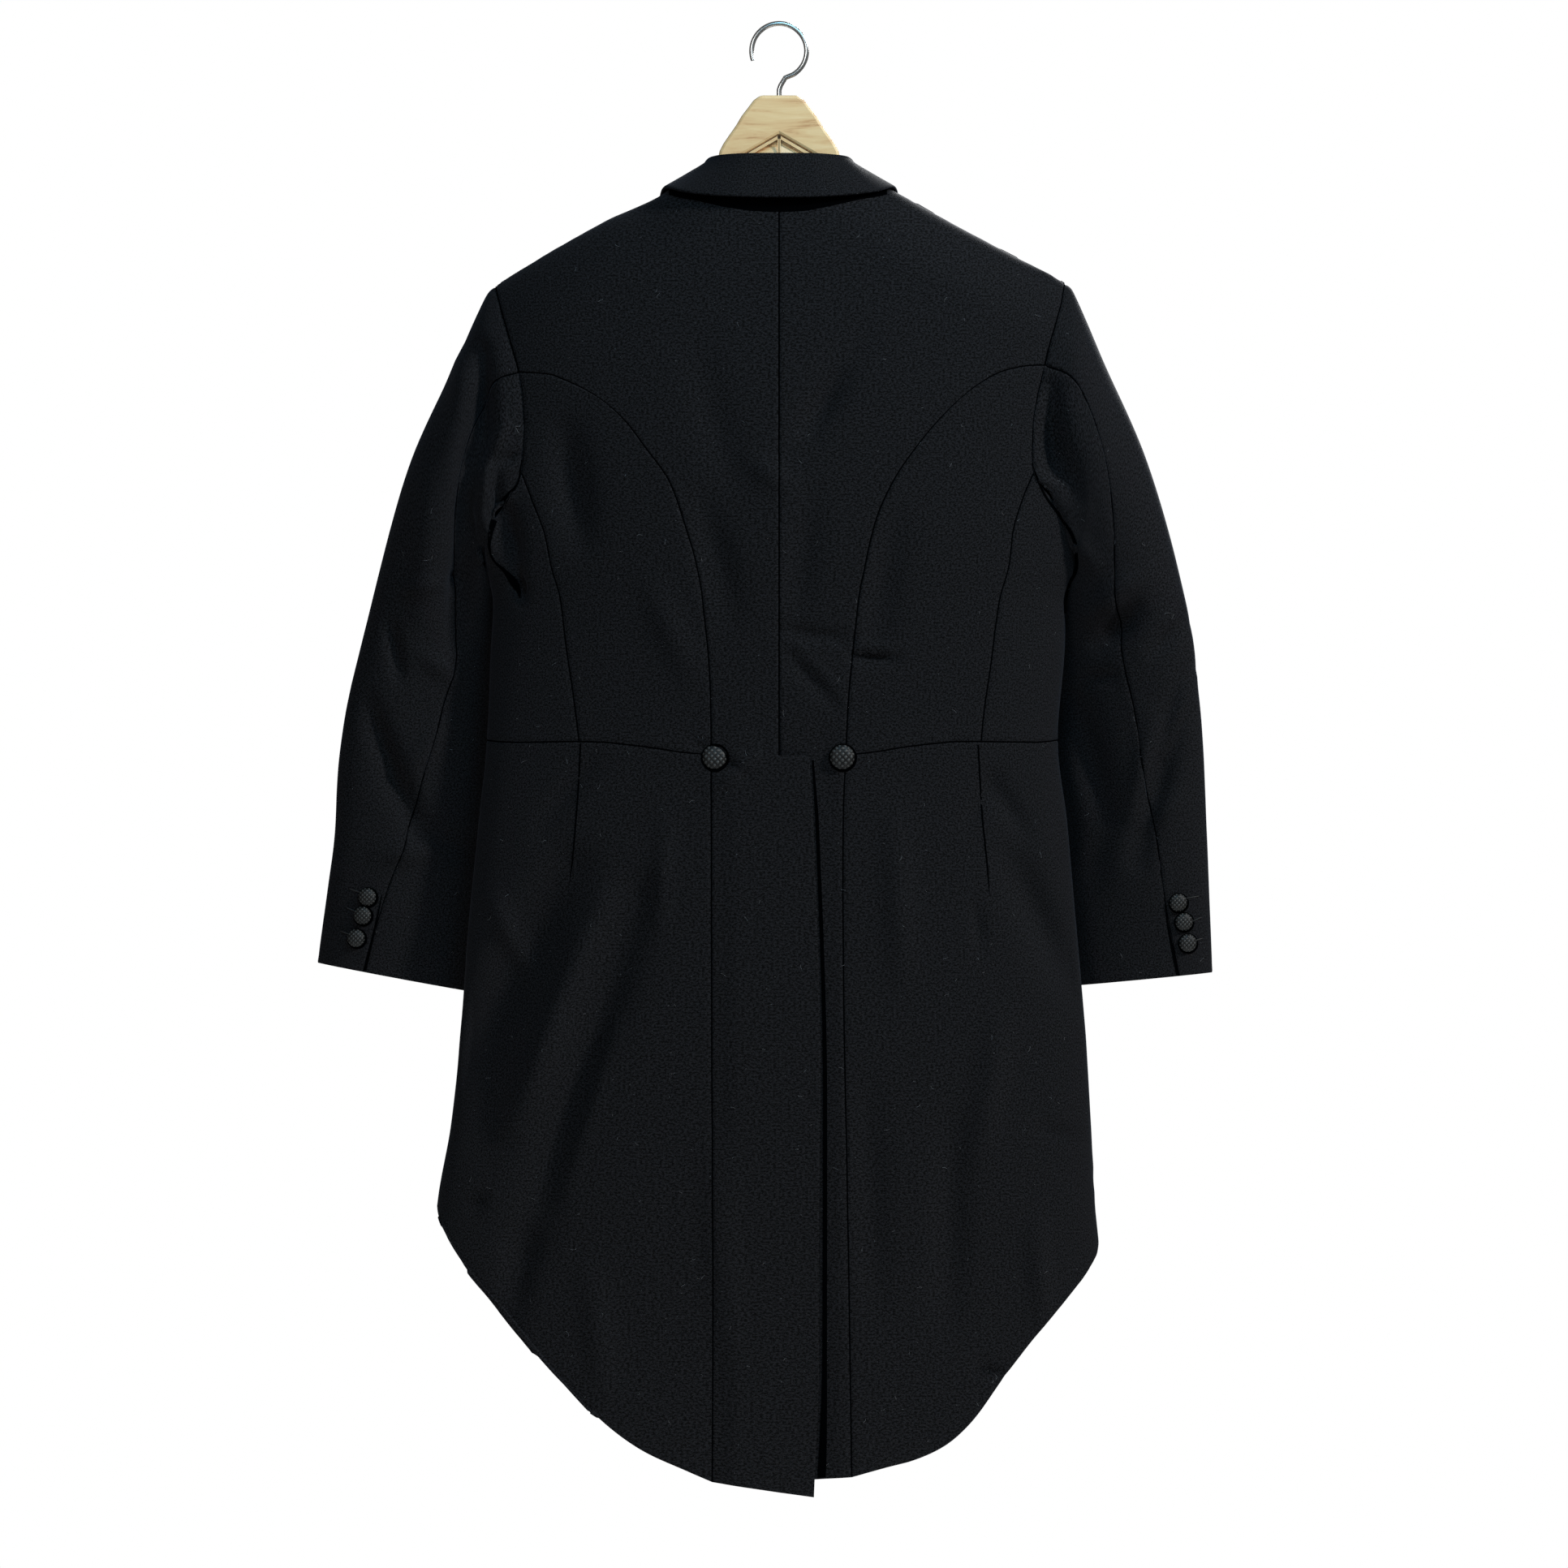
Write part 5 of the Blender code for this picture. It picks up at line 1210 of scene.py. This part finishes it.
def joint_lines(dark, wood):
    """Thin dark lines where the neck block meets the two arms, over wood in the bevels there."""
    for name, material, (away, half, high, low) in (("joint_fill", wood, JOINT_FILL),
                                                    ("joint_shadow", dark, JOINT_SHADOW)):
        valley = [[(x, drop + high), (x, drop + low)] for x, drop in VALLEY]
        upright = [[(-half, drop), (half, drop)] for drop in UPRIGHT]
        lines = [[[(x * MM, -away * MM, -drop * MM) for x, drop in row] for row in line]
                 for line in (valley, upright)]
        strips(name, lines, material, "pale_wood", smoothed=False)


def lint(tree, count, material):
    """Pale fibres a few millimetres long that cling to the cloth."""
    rng = np.random.default_rng(11)
    lines = []
    for _ in range(count):
        face = rng.choice([-1, -1, -1, 1])
        place, outward = met(tree, rng.uniform(*LINT_X), rng.uniform(*LINT_DROP), face)
        if place is None or abs(outward.y) < 0.5:
            continue
        way = outward.orthogonal().normalized()
        way.rotate(Matrix.Rotation(rng.uniform(0, 2 * pi), 3, outward))
        bend = rng.uniform(-LINT_BEND, LINT_BEND)
        length = rng.choice(LINT_LENGTHS) * rng.uniform(0.7, 1.3) * MM
        rows, at = [], place + outward * LINT_LIFT * MM
        for _ in range(6):
            side = outward.cross(way) * LINT_HALF * MM
            rows.append((at - side, at + side))
            at = at + way * length / 5
            way.rotate(Matrix.Rotation(bend / 5, 3, outward))
        lines.append(rows)
    return strips("lint", lines, material, smoothed=False)


def hook(material):
    """The bent wire of the hanger, round all along."""
    centre = -(HOOK_RADIUS - WIRE / 2)
    points = [(0, HOOK_FOOT), (0, HOOK_FOOT + 5), (1.2, HOOK_FOOT + 8.5), (5, centre - 21.4)]
    points += [(HOOK_RADIUS * cos(radians(a)), centre + HOOK_RADIUS * sin(radians(a)))
               for a in range(*HOOK_ARC, 5)]
    data = bpy.data.curves.new("hook_wire", "CURVE")
    data.dimensions = "3D"
    data.bevel_depth = WIRE / 2 * MM
    data.bevel_resolution = 6
    data.use_fill_caps = True
    spline = data.splines.new("POLY")
    spline.points.add(len(points) - 1)
    for point, (x, z) in zip(spline.points, points):
        point.co = (x * MM, 0, z * MM, 1)
    return finish_object("hook_wire", data, material, "bright_steel", "hanger_hook")


def light(name, place, target, size, power, colour):
    data = bpy.data.lights.new(name, "AREA")
    data.shape, data.size, data.energy, data.color = "DISK", size, power, colour
    obj = linked(name, data)
    obj.location = place
    obj.rotation_euler = (Vector(target) - Vector(place)).to_track_quat("-Z", "Y").to_euler()


def studio():
    scene = bpy.context.scene
    scene.view_settings.view_transform = "Standard"
    camera = bpy.data.cameras.new("camera")
    camera.sensor_width, camera.lens = 36.0, 36.0 * CAMERA_AWAY / PHOTO_WIDTH
    camera.clip_end = 50
    obj = linked("camera", camera)
    obj.location = (PHOTO_CENTRE[0] * MM, -CAMERA_AWAY * MM, -PHOTO_CENTRE[1] * MM)
    obj.rotation_euler = (pi / 2, 0, 0)
    scene.camera = obj
    world = bpy.data.worlds.new("white")
    world.use_nodes = True
    tree = world.node_tree
    seen = node(tree, "MapRange")
    seen.inputs["To Min"].default_value = 0.13
    tree.links.new(node(tree, "LightPath").outputs["Is Camera Ray"], seen.inputs["Value"])
    tree.links.new(seen.outputs["Result"], tree.nodes["Background"].inputs["Strength"])
    tree.nodes["Background"].inputs["Color"].default_value = (1, 1, 1, 1)
    scene.world = world
    for values in LIGHTS:
        light(*values)
    mesh = bpy.data.meshes.new("floor")
    mesh.from_pydata([(x * FLOOR_HALF, y * FLOOR_HALF, FLOOR_LOW)
                      for x, y in ((-1, -1), (1, -1), (1, 1), (-1, 1))], [], [(0, 1, 2, 3)])
    mesh.materials.append(principled("pale_floor", FLOOR, 0.9)[0])
    linked("floor", mesh)


def declare(sheet, solid):
    """Hides the solid that the sheet stands in for."""
    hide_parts(solid)


def strip(x, drop, *offsets):
    """Rows of (x, drop) across a line, one point for each distance to its side."""
    return np.stack([joined(x + offset, drop) for offset in offsets], axis=1)


def even_drops(line):
    return np.linspace(line[0][1], line[-1][1], LINE_POINTS)


def cloth_pieces(wool):
    """Every sheet: those of the body, the sleeves by side, and the edges where seams show."""
    body, sleeves, seams = [], {}, []
    for side in SIGN:
        pieces = {"back": back(side, wool), "side_body": side_body(side, wool),
                  "forepart": forepart(side, wool), "skirt": skirt(side, wool), "lapel": lapel(side, wool)}
        for name, sheet in pieces.items():
            declare(sheet, f"{name}_{side}")
        back_piece, _, front, tail, _ = pieces.values()
        body += [sheet for name, sheet in pieces.items() if name != "lapel"]
        neck = (len(neck_line(side, 2)) - 1) * CELLS
        bridge(f"shoulder_seam_{side}", back_piece.border(0, 0)[0][neck:], front.border(1, 0)[0], wool)
        every = slice(None)
        seams += [back_piece.border(0, every, -1), back_piece.border(1, every, -1),
                  back_piece.border(0, every, 0), front.border(0, every, 0),
                  tail.border(0, 0), back_piece.border(0, 0)]
        sleeves[side] = sleeve(side, wool)
        for name, sheet in zip(("top", "under"), sleeves[side]):
            declare(sheet, f"{name}_sleeve_{side}")
        top = sleeves[side][0]
        seams += [top.border(0, 0), top.border(0, every, -1), top.border(0, every, 0)]
    declare(collar(wool), "collar")
    return body, sleeves, seams


def fastenings(body_tree, sleeves, thread, black):
    """Buttons, the cuffs' buttonholes, and the painted shade in the cuffs' vents."""
    for side, x, drop in WAIST_BUTTONS:
        button(f"button_waist_{side}", WAIST_BUTTON, *met(body_tree, x, drop, -1), thread,
               f"waist_button_{side}")
    button("button_front", WAIST_BUTTON, *met(body_tree, *FRONT_BUTTON, 1), thread, "front_button")
    for side in SIGN:
        tree = outer_tree(*sleeves[side])
        for number, (x, drop) in enumerate(CUFF_BUTTONS[side], 1):
            button(f"button_cuff_{side}_{number}", CUFF_BUTTON, *met(tree, x, drop, -1), thread,
                   f"cuff_button_{side}_{number}")
        stitched_bars(f"buttonholes_{side}", tree, BUTTONHOLES[side], thread)
        # a black strip in each cuff's vent paints the shade in its opening
        drop = even_drops(CUFF_VENTS[side])
        wide = np.linspace(*VENT_HALF, len(drop))
        vent = strip(line_x(CUFF_VENTS[side], drop), drop, -wide, wide)
        band(f"cuff_vent_shade_{side}", tree, vent, black, OPEN_LIFT)


def shades(body_tree, sleeves_tree, seams, black):
    """Thin black strips of painted shade where the cloth is too deep or too close for light."""
    for side in SIGN:
        # black strips along the darts paint the shade in their grooves
        drop = even_drops(DARTS[side])
        wide = DART_SHADE_HALF * np.minimum(1, (drop[-1] - drop) / 20 + 0.15)
        dart_shade = strip(line_x(DARTS[side], drop), drop, -wide, wide)
        band(f"dart_{side}", body_tree, dart_shade, black, DART_SHADE_LIFT)
    # a black band paints the collar's shadow on the back below its fall
    along, down = UNDER_COLLAR_SHADOW_POINTS
    x = np.linspace(UNDER_COLLAR_SHADOW[0][0], UNDER_COLLAR_SHADOW[-1][0], along)
    high, low = (column(UNDER_COLLAR_SHADOW, i, x) for i in (1, 2))
    rows = np.stack([joined(x, high + (low - high) * t) for t in np.linspace(0, 1, down)], axis=1)
    band("under_collar_shadow", body_tree, rows, black)
    drop = np.linspace(*VENT_SHADOW_DROPS, VENT_POINTS)
    wide = column(VENT_SHADOW, 1, drop)
    edge = -line_x(VENT_EDGE["left"], drop) + EDGE_GAP
    band("vent_shadow", body_tree, strip(edge, drop, 0, wide * 0.5, wide), black)
    seam_lines("seam_shadow", seams, black)
    # a black ring round each button paints its shadow, a little to the right and down
    for name, tree, diameter, places in (
            ("waist", body_tree, WAIST_BUTTON, [row[1:] for row in WAIST_BUTTONS]),
            ("cuffs", sleeves_tree, CUFF_BUTTON, CUFF_BUTTONS["left"] + CUFF_BUTTONS["right"])):
        reach = [diameter * share for share in BUTTON_SHADOW_REACH]
        for number, (x, drop) in enumerate(places, 1):
            rows = [[(x + BUTTON_SHADOW_OFF[0] + r * cos(a), drop + BUTTON_SHADOW_OFF[1] + r * sin(a)) for r in reach]
                    for a in np.linspace(0, 2 * pi, BUTTON_SHADOW_POINTS)]
            band(f"button_shadow_{name}_{number}", tree, rows, black)


def main():
    studio()
    wool, thread = wool_material(), thread_material()
    # a matte black that paints shade: every black strip on the cloth uses it
    black = principled("painted_shade_black", SHADE_BLACK, 1.0, Specular_IOR_Level=0.0)[0]
    body, sleeves, seams = cloth_pieces(wool)
    both_sleeves = sleeves["left"] + sleeves["right"]
    body_tree, coat_tree = outer_tree(*body), outer_tree(*body, *both_sleeves)
    fastenings(body_tree, sleeves, thread, black)
    shades(body_tree, outer_tree(*both_sleeves), seams, black)
    lint(coat_tree, LINT_COUNT, principled("lint_fibre", LINT, 0.8)[0])
    # black strips paint the shade in the deep folds under the arms
    for side in SIGN:
        band(f"armhole_fold_shade_{side}", coat_tree, tapered(ARMHOLE_FOLDS[side]), black, OPEN_LIFT)
    wood = wood_material()
    joint_lines(principled("joint_gap", JOINT, 0.9)[0], wood)
    for name in ("hanger_neck", "hanger_arm_left", "hanger_arm_right"):
        for slot in frame["nodes"][name].material_slots:
            slot.material = wood
    hook(principled("bright_steel", STEEL, 0.22, Metallic=1.0)[0])


main()
